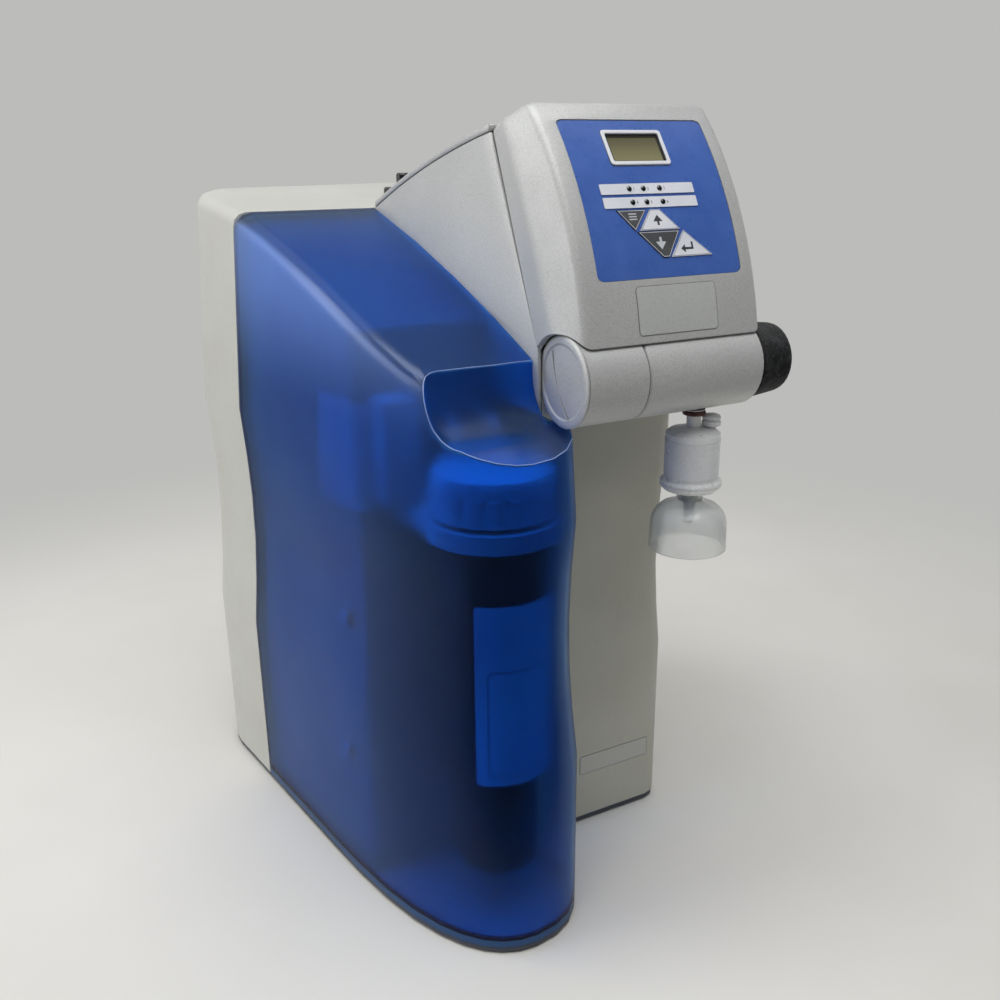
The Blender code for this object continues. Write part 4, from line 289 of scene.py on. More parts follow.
def soft_box(name, direction, distance, size, light_share, in_gloss):
    """A square lamp that adds this share of full light to a surface that faces it at the unit."""
    lamp = bpy.data.lights.new(name, "AREA")
    lamp.shape = "SQUARE"
    lamp.size = size
    lamp.energy = light_share * math.pi * math.pi * distance ** 2
    box = bpy.data.objects.new(name, lamp)
    bpy.context.scene.collection.objects.link(box)
    towards = Vector(direction).normalized()
    box.location = OBJECT_CENTRE + towards * distance
    box.rotation_euler = towards.to_track_quat("Z", "Y").to_euler()
    box.visible_glossy = in_gloss
    return lamp.energy


for soft_box_row in SOFT_BOXES:
    print(soft_box_row[0], round(soft_box(*soft_box_row)), "W")

# %% [markdown]
# ## The bench
# The unit stands on a pale laminate bench. A large plane in one flat colour looks like paper, so the
# laminate gets a faint cloudiness and a grain in its roughness. Further out the lamps no longer reach it,
# and a real studio hides that with a curved sweep of paper. Here the laminate fades to the backdrop's
# colour with the distance from the unit, near enough that no horizon shows and far enough to keep the
# unit's shadow. A real bench ends a little in front of the unit, and its gloss shows the dim room there,
# so that part turns dim for reflections.

# %% Bench
BENCH_REACH = 9.0
FADE_START, FADE_END = 420.0 * MM, 1150.0 * MM
BENCH_FRONT = -235.0 * MM
FRONT_BLUR = 70.0 * MM
CLOUD_SIZE, SPECK_SIZE = 260.0 * MM, 4.0 * MM


def bench_laminate():
    material, tree, place = new_material("bench_laminate")
    colour = between(tree, noise_field(tree, place, CLOUD_SIZE, 4.0), "dbd9d3", "e1dfda")
    laminate = principled(tree, colour, noise_field(tree, place, SPECK_SIZE, 2.0, 0.42, 0.58))
    distance = add_node(tree, "ShaderNodeVectorMath", {0: place}, operation="LENGTH").outputs["Value"]
    far = stretched(tree, distance, FADE_START, FADE_END, kind=SOFT)
    sweep_colour, dim = studio_colour(tree, place, BENCH_FRONT, BENCH_FRONT - FRONT_BLUR)
    share = worked(tree, "MAXIMUM", worked(tree, "MULTIPLY", far, seen_directly(tree)), dim)
    sweep = add_node(tree, "ShaderNodeEmission", {"Color": sweep_colour, "Strength": 1.0}).outputs[0]
    return end_material(material, either_shader(tree, share, laminate, sweep))


bench_corners = [(x * BENCH_REACH, y * BENCH_REACH, 0.0) for x, y in ((-1, -1), (1, -1), (1, 1), (-1, 1))]
bench_mesh = bpy.data.meshes.new("bench")
bench_mesh.from_pydata(bench_corners, [], [(0, 1, 2, 3)])
bench = bpy.data.objects.new("bench", bench_mesh)
bench.location.z = cad_low[2]
bpy.context.scene.collection.objects.link(bench)
bench_mesh.materials.append(bench_laminate())
print("bench at z =", round(cad_low[2] / MM, 2), "mm")

# %% [markdown]
# ## Round mouldings look round
# The CAD solids arrive as triangles with split corners, so their round parts show flat facets. Moving a
# CAD solid isn't allowed, but a modifier on it is. The solids stay where they are, and a modifier on each
# does the work: a small geometry node group joins the split corners, shades every face smooth, and keeps
# an edge sharp where its two faces meet at more than a set angle. A fillet turns a few degrees from facet
# to facet, so it goes smooth, and a cut edge stays crisp.

# %% Smooth shading for the CAD solids
SHARP_ANGLE = math.radians(33.0)
WELD_REACH = 0.01 * MM


def smoothing_group():
    group = bpy.data.node_groups.new("smooth_moulding", "GeometryNodeTree")
    for direction in ("INPUT", "OUTPUT"):
        group.interface.new_socket("Geometry", in_out=direction, socket_type="NodeSocketGeometry")
    solid = add_node(group, "NodeGroupInput").outputs[0]
    weld = {"Geometry": solid, "Distance": WELD_REACH}
    solid = add_node(group, "GeometryNodeMergeByDistance", weld).outputs[0]
    loosen = {"Geometry": solid, "Name": "custom_normal"}
    solid = add_node(group, "GeometryNodeRemoveAttribute", loosen).outputs[0]
    solid = add_node(group, "GeometryNodeSetShadeSmooth", {"Geometry": solid, "Shade Smooth": True},
                     domain="FACE").outputs[0]
    angle = add_node(group, "GeometryNodeInputMeshEdgeAngle").outputs["Unsigned Angle"]
    sharp = add_node(group, "FunctionNodeCompare", {0: angle, 1: SHARP_ANGLE}, operation="GREATER_THAN")
    solid = add_node(group, "GeometryNodeSetShadeSmooth",
                     {"Geometry": solid, "Selection": sharp.outputs[0], "Shade Smooth": False},
                     domain="EDGE").outputs[0]
    add_node(group, "NodeGroupOutput", {0: solid})
    return group


smooth_moulding = smoothing_group()
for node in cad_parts.values():
    node.modifiers.new("smooth_moulding", "NODES").node_group = smooth_moulding
print("smoothed solids:", len(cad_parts))

# %% [markdown]
# ## Moulded plastics
# Most of the cabinet is ABS, shot into a steel mould whose wall was etched to a fine grain. The grain
# breaks up the gloss, so the eye reads a soft sheen and never a mirror. Years on a bench add a slow drift
# in tone, and dust that stays in the grooves of the grain. One function builds all such mouldings: a
# drifting colour, painted shade where surfaces meet, a drifting roughness and a grain as a bump of real
# width and depth. The true grain is about 0.2 mm wide, too fine for the picture, so it is drawn about four
# times as coarse. No moulded edge is a knife edge either: the Bevel node turns the shading over each edge
# by a real radius, so that edges catch the light as they do on the real mouldings.

# %% A moulded, grained plastic
ABS_IOR = 1.53
SHADE_REACH = 7.0 * MM
SHADE_FROM, SHADE_FULL, SHADE_SHARE = 0.75, 0.15, 0.5  # how open a spot is where painted shade starts and is full
GRAIN_WIDTH, SOFT_GRAIN = 0.8 * MM, 0.9 * MM  # the soft one is a polished mould's
GRAIN_DEPTH = 0.05 * MM
PIT_FROM, PIT_FULL = 0.55, 0.35  # the grain's level where dirt in its pits starts and is full
TONE_WIDTH = 70.0 * MM
EDGE_ROUND = 0.7 * MM


def rounded_edges(tree):
    """The surface's direction, turned over an edge as a moulded edge radius turns it."""
    return add_node(tree, "ShaderNodeBevel", {"Radius": EDGE_ROUND}, samples=4).outputs[0]


def moulded(name, colour, aged, shade_and_dirt, roughness, grain=GRAIN_WIDTH, depth=GRAIN_DEPTH, speckle=0.06):
    """An etched moulding: its colour drifts to an aged tone and has painted shade where surfaces meet."""
    material, tree, place = new_material(name)
    body = between(tree, noise_field(tree, place, TONE_WIDTH, 3.0), colour, aged)
    # painted shade: ambient occlusion darkens the colour where surfaces meet
    near = add_node(tree, "ShaderNodeAmbientOcclusion", {"Distance": SHADE_REACH}, samples=6).outputs["AO"]
    painted_shade = stretched(tree, near, SHADE_FROM, SHADE_FULL, 0.0, SHADE_SHARE)
    etched = noise_level(tree, place, grain)
    pits = stretched(tree, etched, PIT_FROM, PIT_FULL, 0.0, 2.0 * speckle)
    for darkening in (painted_shade, pits):
        body = mixed(tree, darkening, body, linear_colour(shade_and_dirt))
    rough = about(tree, place, 0.4 * TONE_WIDTH, 4.0, roughness, 0.06)
    turned = relief(tree, etched, depth, rounded_edges(tree))
    return end_material(material, principled(tree, body, rough, ior=ABS_IOR, normal=turned))


def finish_nodes(material, *names):
    """Gives CAD nodes a finish through their material slots."""
    for name in names:
        for material_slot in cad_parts[name].material_slots:
            material_slot.material = material
    print(material.name, "on", len(names), "nodes")


# %% [markdown]
# The cabinet's shells are warm grey ABS, moulded in one colour. The tone leans to yellow, as pale ABS
# does with age, and most of all on the front panel. The inner housing is pale on its right side, which is
# an outer wall, and a darker mid grey inside the bay, which is painted shade. The base plate is a tray:
# pale inside, where it shows through the cover's foot, with a dark edge all round that is painted shade.
# A mask by the way a face looks gives both tones.

# %% Cabinet shells: warm grey ABS
finish_nodes(moulded("warm_grey_abs", "c1c1ba", "c6c6c1", "6d6c66", 0.52, depth=0.08 * MM), "rear_housing")
finish_nodes(moulded("aged_grey_abs", "b2b2a6", "b8b8ad", "66655c", 0.52, depth=0.08 * MM), "front_panel")


def second_tone(material, direction, low, high, colour):
    """Gives the faces that look this way another colour, changing from low to high: shade painted by facing.
    """
    tree = material.node_tree
    base = tree.nodes["Principled BSDF"].inputs["Base Color"]
    there = stretched(tree, facing(tree, direction), low, high)
    tree.links.new(mixed(tree, there, base.links[0].from_socket, linear_colour(colour)), base)
    return material


RIGHT_WALL, ALL_BUT_TOP = (0.3, 0.6), (-0.6, -0.3)  # how far a face looks there where the tone turns
# painted shade: mid grey on the housing's walls in the bay, pale on its lit right wall
inner_shell = moulded("grey_abs_with_bay_shade", "8f9195", "96989c", "55575b", 0.5)
finish_nodes(second_tone(inner_shell, RIGHTWARDS, *RIGHT_WALL, "bdbdb6"), "front_housing")
# painted shade: the tray's faces that don't look up get a dark edge colour
tray = moulded("tray_abs", "989ca5", "a0a4ac", "5c606a", 0.45)
finish_nodes(second_tone(tray, DOWNWARDS, *ALL_BUT_TOP, "343a48"), "base_plate")

# %% [markdown]
# The head, the neck and the arm are ABS with a silver grey lacquer. The lacquer holds fine metal flakes,
# so it is a little cooler and shinier, and edges that face the light show a bright line.

# %% Head, neck and arm: silver grey lacquered ABS
SILVER_NODES = ("neck_left_plate", "neck_right_plate", "neck_top_skin", "neck_underside", "head_shell",
                "arm_left", "arm_right", "arm_end_cap", "outlet_nipple")
silver_lacquer = moulded("silver_lacquered_abs", "bfc0bf", "c5c6c4", "605f5d", 0.46, depth=0.13 * MM,
                         speckle=0.11)
silver_sockets = silver_lacquer.node_tree.nodes["Principled BSDF"].inputs
for socket_name, level in (("Metallic", 0.2), ("Coat Weight", 0.08), ("Coat Roughness", 0.3)):
    silver_sockets[socket_name].default_value = level
finish_nodes(silver_lacquer, *SILVER_NODES)

# %% [markdown]
# ## The tinted cover
# The side cover is polycarbonate, tinted cobalt in the granules and moulded about 3 mm thick, with a
# fine satin inside. Light goes through the wall twice, in and out, so what stands behind it looks deep
# blue and soft. A real glass-like shader on the real wall does this by itself: both faces of the wall
# bend and tint the light. A flat blue paint couldn't show the cartridge. Bent light is slow to find its
# way into the bay, so a shadow ray goes straight through instead and is tinted once at each face. The
# walls are satin outside too. Only the ridge, the top edge and the scoop are polished by hands. High on
# the left wall a pale diffuse film is a painted sheen, and a faint trace of the same film everywhere is
# dust. All are masks by the height and by the way the wall faces. The satin stays rougher than 0.28
# everywhere: a smoother wall counts as clear glass when the picture is cleaned of noise, and the border
# between the two is drawn as curls. The foot of the cover is a solid bead that rests on the base: no
# light comes through it, so it looks opaque. Its pale blue is partly the bead's own and partly a painted
# reflection of the bench, and the dark line over it is painted shade. Handling leaves faint scratches,
# drawn as stretched noise, and a few pale nicks, which are the nearest points of a cell pattern.

# %% Side cover: tinted polycarbonate
COVER_TINT, COVER_DEEP = linear_colour("4593dc"), linear_colour("3d87d6")
WALL_SHADE = tuple(math.sqrt(level) for level in COVER_TINT)
OPAQUE = linear_colour("000000")
COVER_IOR = 1.22  # polycarbonate is 1.585: the satin takes most of the gloss, the coat gives some back
COAT_IOR, COAT_ROUGHNESS = 1.4, 0.2
# the foot's pale blue is partly the bead and partly a painted reflection of the bench; the dark line over it
# is painted shade
RIM_REFLECTION, RIM_TOP = linear_colour("35547f"), 11.0 * MM
RIM_SHADE, RIM_SHADE_TOP = linear_colour("060d38"), 13.4 * MM
NICK_COLOUR, NICK_SPACING, NICK_SHARE = linear_colour("c9d6ea"), 75.0 * MM, 0.009
SCRATCH_WIDTH, SCRATCH_TURN, SCRATCH_STRETCH = 0.5 * MM, (0.25, 0.1, 0.35), (1.0, 0.5, 0.025)
SCRATCH_ROUGHNESS, SCRATCH_RANGE = 0.05, (0.72, 0.8)
SATIN_WIDTH, SATIN_DEPTH = 1.1 * MM, 0.006 * MM
SATIN_LOW, SATIN_HIGH, SATIN_DRIFT = 0.32, 0.42, 0.02  # roughness low and high on the cover
SATIN_TURN, SATIN_PATCH, TINT_DRIFT = (240.0 * MM, 300.0 * MM), 45.0 * MM, 90.0 * MM
CLEAR_SHARES = (1.0, 0.1)  # of the tinted wall, and of its solid foot and nicks
# the pale film is a painted sheen high on the left wall and a trace of dust everywhere
SHEEN_AND_DUST_COLOUR, FILM_EVERYWHERE = linear_colour("a4bcf0"), 0.006
SCOOP_TOP, SCOOP_BLUR = 392.0 * MM, 3.0 * MM
RIDGE_FACING = (-0.62, -0.30, 0.72)
RIDGE_MASK, SCOOP_MASK, SHEEN_MASK = (0.86, 0.96, 0.9), (0.35, 0.9, 0.9), (0.55, 0.85, 1.0)  # by facing
TOP_MASK, SHEEN_HEIGHTS = (440.0 * MM, 490.0 * MM, 0.6), (350.0 * MM, 460.0 * MM, 0.25)  # by height


def below(tree, height, level, blur=0.2 * MM):
    """1 under a level, 0 over it, with a narrow change between."""
    return stretched(tree, height, level + blur, level - blur)


def rising(tree, value, low, high, most):
    """0 under a value, the most over another, with a soft rise between."""
    return stretched(tree, value, low, high, 0.0, most, SOFT)


def polish_mask(tree, height):
    """Where hands have polished the cover: its ridge, its top edge and its scoop."""
    ridge = rising(tree, facing(tree, RIDGE_FACING), *RIDGE_MASK)
    floor = rising(tree, facing(tree, UPWARDS), *SCOOP_MASK)
    scoop = worked(tree, "MULTIPLY", floor, below(tree, height, SCOOP_TOP, SCOOP_BLUR))
    return worked(tree, "MAXIMUM", worked(tree, "MAXIMUM", ridge, rising(tree, height, *TOP_MASK)), scoop)


def film_mask(tree, height):
    """A trace of dust everywhere, and a painted sheen high on the left wall."""
    left = rising(tree, facing(tree, LEFTWARDS), *SHEEN_MASK)
    return worked(tree, "ADD", worked(tree, "MULTIPLY", left, rising(tree, height, *SHEEN_HEIGHTS)),
                  FILM_EVERYWHERE)


def satin_roughness(tree, place, height):
    """A satin that is finer low on the cover, with faint scratches."""
    drawn = add_node(tree, "ShaderNodeMapping", {"Vector": place, "Rotation": SCRATCH_TURN,
                                                 "Scale": SCRATCH_STRETCH}).outputs[0]
    scratch = noise_field(tree, drawn, SCRATCH_WIDTH, 1.0, 0.0, SCRATCH_ROUGHNESS, *SCRATCH_RANGE)
    satin = stretched(tree, height, *SATIN_TURN, SATIN_LOW, SATIN_HIGH, SOFT)
    satin = worked(tree, "ADD", about(tree, place, SATIN_PATCH, 4.0, 0.0, SATIN_DRIFT), satin)
    return worked(tree, "ADD", scratch, satin)


def tinted_polycarbonate():
    material, tree, place = new_material("tinted_polycarbonate")
    height = add_node(tree, "ShaderNodeSeparateXYZ", {0: place}).outputs["Z"]
    cells = add_node(tree, "ShaderNodeTexVoronoi", {"Vector": place, "Scale": per_metre(NICK_SPACING)})
    nick = stretched(tree, cells.outputs["Distance"], NICK_SHARE, 0.6 * NICK_SHARE)
    rim = below(tree, height, RIM_TOP)
    colour = mixed(tree, noise_field(tree, place, TINT_DRIFT, 3.0), COVER_TINT, COVER_DEEP)
    # painted light at the foot: the pale reflection, and the dark line of painted shade over it
    for share, paint in ((nick, NICK_COLOUR), (below(tree, height, RIM_SHADE_TOP), RIM_SHADE),
                         (rim, RIM_REFLECTION)):
        colour = mixed(tree, share, colour, paint)
    solid = worked(tree, "MAXIMUM", nick, rim)
    turned = relief(tree, noise_level(tree, place, SATIN_WIDTH, 1.0), SATIN_DEPTH, rounded_edges(tree))
    wall = principled(tree, colour, satin_roughness(tree, place, height), ior=COVER_IOR,
                      transmission_weight=stretched(tree, solid, 0.0, 1.0, *CLEAR_SHARES), normal=turned,
                      coat_weight=polish_mask(tree, height), coat_ior=COAT_IOR,
                      coat_roughness=COAT_ROUGHNESS, coat_normal=rounded_edges(tree))
    # pale diffuse film: painted sheen high on the left wall, a trace of dust elsewhere
    dust = add_node(tree, "ShaderNodeBsdfDiffuse", {"Color": SHEEN_AND_DUST_COLOUR}).outputs[0]
    wall = either_shader(tree, film_mask(tree, height), wall, dust)
    passed = add_node(tree, "ShaderNodeBsdfTransparent", {"Color": mixed(tree, solid, WALL_SHADE, OPAQUE)})
    return end_material(material, either_shader(tree, ray(tree, "Is Shadow Ray"), wall, passed.outputs[0]))


finish_nodes(tinted_polycarbonate(), "side_cover")

# %% [markdown]
# ## The keypad
# A keypad like this is a sheet of polyester film, printed on its back and laid into the head's recess.
# The print gives an even colour and the film over it a clear gloss, which shows as a sharp coat over a
# softer base. The white strips and keys are the same film with white or grey ink. Flat prints are still
# never quite one colour, so the ink drifts a little.

# %% Keypad: printed polyester film
INK_DRIFT = 22.0 * MM
FILM_WAVE, FILM_WAVE_DEPTH = 14.0 * MM, 0.06 * MM
FILM_GLOSS = 0.06  # the roughness of the clear film


def printed_film(name, ink, faded, roughness=0.3, coat=0.7):
    """Ink under a clear gloss film."""
    material, tree, place = new_material(name)
    colour = between(tree, noise_field(tree, place, INK_DRIFT, 3.0), ink, faded)
    wave = relief(tree, noise_level(tree, place, FILM_WAVE), FILM_WAVE_DEPTH)
    rough = about(tree, place, 9.0 * MM, 3.0, roughness, 0.05)
    return end_material(material, principled(tree, colour, rough, coat_weight=coat,
                                             coat_roughness=FILM_GLOSS, normal=wave))


blue_film = printed_film("blue_printed_polyester", "3f63b0", "466ab8")
white_film = printed_film("white_printed_polyester", "dfe2ea", "e8eaf0", 0.35, 0.4)
grey_film = printed_film("grey_printed_polyester", "4c4d50", "56575a", 0.4, 0.3)
finish_nodes(blue_film, "keypad_membrane")
finish_nodes(white_film, "indicator_strip_upper", "indicator_strip_lower", "key_up", "key_enter")
finish_nodes(grey_film, "key_menu", "key_down")
finish_nodes(moulded("white_abs", "e6e8ee", "eceef2", "8d8f96", 0.35, SOFT_GRAIN, 0.01 * MM),
             "display_frame")

# %% [markdown]
# The display is a reflective liquid crystal cell behind a clear window. Switched off it is a greenish
# olive, darker towards its top, where the deep frame shades it. That shade is painted into the cell's
# colour and runs with its height, so it is mixed by the place on the window.

# %% Display: liquid crystal cell behind glass
CELL_GRAIN = 0.6 * MM


def crystal_glass():
    material, tree, place = new_material("liquid_crystal_glass")
    window_low, window_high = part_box("display_window")
    height = add_node(tree, "ShaderNodeSeparateXYZ", {0: place}).outputs["Z"]
    # painted shade: the olive darkens towards the window's top, where the frame shades it
    shade = stretched(tree, height, window_low[2], window_high[2], kind=SOFT)
    grain = noise_field(tree, place, CELL_GRAIN, 1.0, 0.08, 0.16)
    return end_material(material, principled(tree, between(tree, shade, "8c8966", "625f46"), grain,
                                             coat_weight=1.0, coat_roughness=0.02))


finish_nodes(crystal_glass(), "display_window")

# %% [markdown]
# ## Rubber, steel and the parts inside
# The knob and the feet are moulded rubber: nearly black, dull, and dusty where fingers don't reach. The
# dust is a pale, patchy film with fine upright streaks where it was wiped, so two noises mix it over the
# black. The seal at the outlet is a red-brown rubber ring. The cartridge is black polypropylene with a
# slight gloss under a white ribbed cap.

# %% Rubber, polypropylene and circuit boards
DUST_PATCH, DUST_RANGE = 7.0 * MM, (0.42, 0.72)
STREAK_WIDTH, STREAK_RANGE, STREAK_STRETCH = 0.9 * MM, (0.52, 0.72), (1.0, 1.0, 0.12)
STREAK_STRENGTH = 2.5  # times the film's share
PORE_WIDTH, PORE_DEPTH = 0.5 * MM, 0.05 * MM


def dusty_rubber(name, colour, dust, dust_share, roughness):
    """Dull moulded rubber under a patchy film of dust."""
    material, tree, place = new_material(name)
    film = noise_field(tree, place, DUST_PATCH, 6.0, 0.0, dust_share, *DUST_RANGE)
    wiped = add_node(tree, "ShaderNodeMapping", {"Vector": place, "Scale": STREAK_STRETCH}).outputs[0]
    streaks = noise_field(tree, wiped, STREAK_WIDTH, 3.0, 0.0, STREAK_STRENGTH * dust_share, *STREAK_RANGE)
    colour = between(tree, worked(tree, "ADD", film, streaks), colour, dust)
    rough = about(tree, place, 5.0 * MM, 3.0, roughness, 0.08)
    pores = relief(tree, noise_level(tree, place, PORE_WIDTH, 3.0), PORE_DEPTH)
    return end_material(material, principled(tree, colour, rough, ior=1.52, normal=pores))


finish_nodes(dusty_rubber("black_moulded_rubber", "0c0d0f", "606365", 0.17, 0.72), "dispense_knob",
             "foot_front_left", "foot_front_right", "foot_rear_left", "foot_rear_right")
finish_nodes(dusty_rubber("red_brown_rubber", "4a2620", "7a5a50", 0.25, 0.45), "outlet_o_ring")
finish_nodes(moulded("black_polypropylene", "1a1b1e", "212226", "0e0e10", 0.34, SOFT_GRAIN, 0.02 * MM),
             "cartridge_body", "cartridge_lower_end", "top_plug_left", "top_plug_right", "feed_connector",
             "drain_connector", "power_socket")
finish_nodes(moulded("white_polypropylene", "e4e5e6", "dadcdd", "8b8d90", 0.4, SOFT_GRAIN, 0.015 * MM),
             "cartridge_cap", "cartridge_bracket", "cover_catch_upper", "cover_catch_lower", "storage_tank",
             "osmosis_module", "filter_membrane")
finish_nodes(moulded("grey_polypropylene", "b4b7bc", "bcbfc4", "6b6d70", 0.4, SOFT_GRAIN, 0.015 * MM),
             "connection_manifold")
finish_nodes(moulded("epoxy_circuit_board", "1f5a34", "27683c", "0f2b1a", 0.38, 1.6 * MM, 0.05 * MM),
             "display_board", "control_board")

# %% [markdown]
# The pump, the lamp reactor and the valve spindle are brushed stainless steel. Brushing leaves fine
# lines along one direction, so the noise is stretched along the height, and the lines stretch the gloss.

# %% Brushed stainless steel
BRUSH_WIDTH, BRUSH_STRETCH, BRUSH_DEPTH = 0.6 * MM, (1.0, 1.0, 0.04), 0.03 * MM


def brushed_steel():
    material, tree, place = new_material("brushed_stainless_steel")
    drawn = add_node(tree, "ShaderNodeMapping", {"Vector": place, "Scale": BRUSH_STRETCH}).outputs[0]
    lines = noise_field(tree, drawn, BRUSH_WIDTH, 3.0, 0.22, 0.38)
    return end_material(material, principled(tree, between(tree, lines, "b4b6b8", "c6c7c8"), lines,
                                             metallic=1.0, normal=relief(tree, lines, BRUSH_DEPTH)))


finish_nodes(brushed_steel(), "booster_pump", "ultraviolet_reactor", "valve_spindle")

# %% [markdown]
# ## Clear and milky plastics
# The filter's shells and its bell are unpigmented polypropylene. It isn't coloured, but its crystals
# scatter light, so it looks milky: a part of the light goes through and the rest is scattered back. Shadow
# rays pass in the same share, or the inside would be dark. The hoses are clear PVC, which scatters little.

# %% Milky polypropylene and clear PVC
def milky_plastic(name, colour, roughness, clear_share, haze_size, ior):
    """An unpigmented plastic that lets a share of the light through and scatters the rest."""
    material, tree, place = new_material(name)
    cloud = about(tree, place, haze_size, 3.0, clear_share, 0.03)
    rough = about(tree, place, 0.5 * haze_size, 2.0, roughness, 0.05)
    wave = relief(tree, noise_level(tree, place, 0.3 * haze_size), 0.01 * MM)
    shell = principled(tree, linear_colour(colour), rough, ior=ior, transmission_weight=cloud, normal=wave)
    through = add_node(tree, "ShaderNodeBsdfTransparent", {"Color": linear_colour(colour)}).outputs[0]
    passing = worked(tree, "MULTIPLY", ray(tree, "Is Shadow Ray"), clear_share)
    return end_material(material, either_shader(tree, passing, shell, through))


milky = milky_plastic("milky_polypropylene", "eceeed", 0.3, 0.15, 12.0 * MM, 1.49)
finish_nodes(milky, "filter_upper_shell", "filter_lower_shell", "filter_vent_cap")
finish_nodes(milky_plastic("thin_polypropylene", "f4f6f5", 0.16, 0.8, 20.0 * MM, 1.4), "filter_bell")
finish_nodes(milky_plastic("clear_pvc_hose", "dfe4e4", 0.12, 0.88, 15.0 * MM, 1.54),
             "cartridge_hose_in", "cartridge_hose_out")

# %% [markdown]
# ## Thin pieces that follow a surface
# A label, a plate or a wrap lies on a surface that is often curved. It could be shrink-wrapped, but then
# its edge would follow every facet. Here each one is first laid out flat, in distance across and height,
# with a third number for how far it stands out. A small place function then bends that onto the display
# face, the front panel or a cylinder. The same outline code serves all of them.

# %% Place functions
FACE_RADIUS = 256.3 * MM
FACE_CENTRE = panel_place(0.0, 162.2 * MM, 366.9 * MM)
FILTER_AXIS = panel_place(-33.6 * MM, -71.6 * MM, 0.0)
CARTRIDGE_AXIS = panel_place(-172.0 * MM, -50.0 * MM, 0.0)


def on_display_face(across, height, out):
    """A point over the head's curved face."""
    radius = FACE_RADIUS + out
    sine = (height - FACE_CENTRE.z) / FACE_RADIUS
    return Vector((PANEL_CORNER.x + across, FACE_CENTRE.y - radius * math.sqrt(1.0 - sine * sine),
                   FACE_CENTRE.z + radius * sine))


def on_front_panel(across, height, out):
    """A point over the front panel's flat face."""
    return panel_place(across, -out, height)


def round_axis(axis, radius):
    """A place function for a cylinder that stands upright: across is an angle in radians."""
    def place(angle, height, out):
        reach = radius + out
        return Vector((axis.x + reach * math.cos(angle), axis.y + reach * math.sin(angle), height))
    return place


def row_frame(across, height):
    """The flat frame that a key's row is built in: X across, Y up the face, Z out of it."""
    sine = (height - FACE_CENTRE.z) / FACE_RADIUS
    cosine = math.sqrt(1.0 - sine * sine)
    origin = on_display_face(across, height, 0.0)
    return Matrix(((1.0, 0.0, 0.0, origin.x), (0.0, sine, -cosine, origin.y),
                   (0.0, cosine, sine, origin.z), (0.0, 0.0, 0.0, 1.0)))


print("display face at the display:", [round(v / MM, 1) for v in on_display_face(0.0, 519.1 * MM, 0.0)])

# %% [markdown]
# Every new piece goes through one function. It makes the mesh, turns its faces outwards, gives it its
# finish, and lets it ride on the CAD body that carries it, so that it moves with the joints. Most pieces
# are loops of points that follow each other: a band closes on itself, a turned or swept shape has ends.

# %% Keep a mesh as a piece
JOIN_REACH = 0.001 * MM


def keep_piece(name, corners, faces, material, body, smooth=True):
    """One closed mesh as a piece of the object, on its body."""
    mesh = bpy.data.meshes.new(name)
    mesh.from_pydata([tuple(corner) for corner in corners], [], faces)
    shape = bmesh.new()
    shape.from_mesh(mesh)
    bmesh.ops.remove_doubles(shape, verts=shape.verts, dist=JOIN_REACH)
    bmesh.ops.recalc_face_normals(shape, faces=shape.faces)
    for face in shape.faces:
        face.smooth = smooth
    for edge in shape.edges:
        if len(edge.link_faces) == 2 and edge.calc_face_angle() > SHARP_ANGLE:
            edge.smooth = False
    shape.to_mesh(mesh)
    shape.free()
    mesh.materials.append(material)
    piece = bpy.data.objects.new(name, mesh)
    bpy.context.scene.collection.objects.link(piece)
    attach(piece, body)


def loop_faces(count, size, closed=False, ends=(), first=0):
    """Faces between loops of points that follow each other, and over the loops at these ends."""
    faces = []
    for loop in range(count if closed else count - 1):
        here, there = first + loop * size, first + (loop + 1) % count * size
        for index in range(size):
            beside = (index + 1) % size
            faces.append((here + index, here + beside, there + beside, there + index))
    return faces + [tuple(range(first + end * size, first + (end + 1) * size)) for end in ends]


def loops_piece(name, loops, material, body, closed=False, ends=None):
    """A piece made of loops. It closes on itself, or has a face at each end unless ends says which."""
    if ends is None:
        ends = () if closed else (0, len(loops) - 1)
    corners = [corner for loop in loops for corner in loop]
    keep_piece(name, corners, loop_faces(len(loops), len(loops[0]), closed, ends), material, body)


def circle(radius, steps, first=0):
    """Points round a circle, from one of its steps on."""
    angles = [2.0 * math.pi * (step + first) / steps for step in range(steps)]
    return [(radius * math.cos(angle), radius * math.sin(angle)) for angle in angles]


def turned_piece(name, profile, place, steps, material, body, closed=False):
    """A piece turned from a profile of radius and height in millimetres, about the place's Z axis."""
    loops = [[place @ (Vector((x, y, height)) * MM) for x, y in circle(radius, steps)]
             for radius, height in profile]
    loops_piece(name, loops, material, body, closed, () if closed else (0,))


# %% [markdown]
# A sheet is a grid of rows. Each row knows its left and right end, which is how the round corners come
# about, and the rows are close enough to bend with the surface. Layers of the grid, joined round their
# rim, make a closed thin plate, and the top layer is a little smaller, so the edge catches light.

# %% Thin sheets with round corners
CORNER_STEPS = 5
MIDDLE_ROWS = 8
SHEET_EDGE = 0.1 * MM


def inset(edges, distance):
    """The left, right, low and high edges moved inwards."""
    left, right, low, high = edges
    return left + distance, right - distance, low + distance, high - distance


def sheet_rows(edges, corner):
    """Heights of a round-cornered rectangle, each with its left and right end."""
    left, right, low, high = edges
    heights = [low + corner * (1.0 - math.cos(0.5 * math.pi * step / CORNER_STEPS))
               for step in range(CORNER_STEPS)]
    for step in range(MIDDLE_ROWS + 1):
        heights.append(low + corner + (high - low - 2.0 * corner) * step / MIDDLE_ROWS)
    heights += [low + high - height for height in reversed(heights[:CORNER_STEPS])]
    rows = []
    for height in heights:
        depth = corner - min(height - low, high - height, corner)
        draw_in = corner - math.sqrt(max(0.0, corner ** 2 - depth ** 2))
        rows.append((height, left + draw_in, right - draw_in))
    return rows


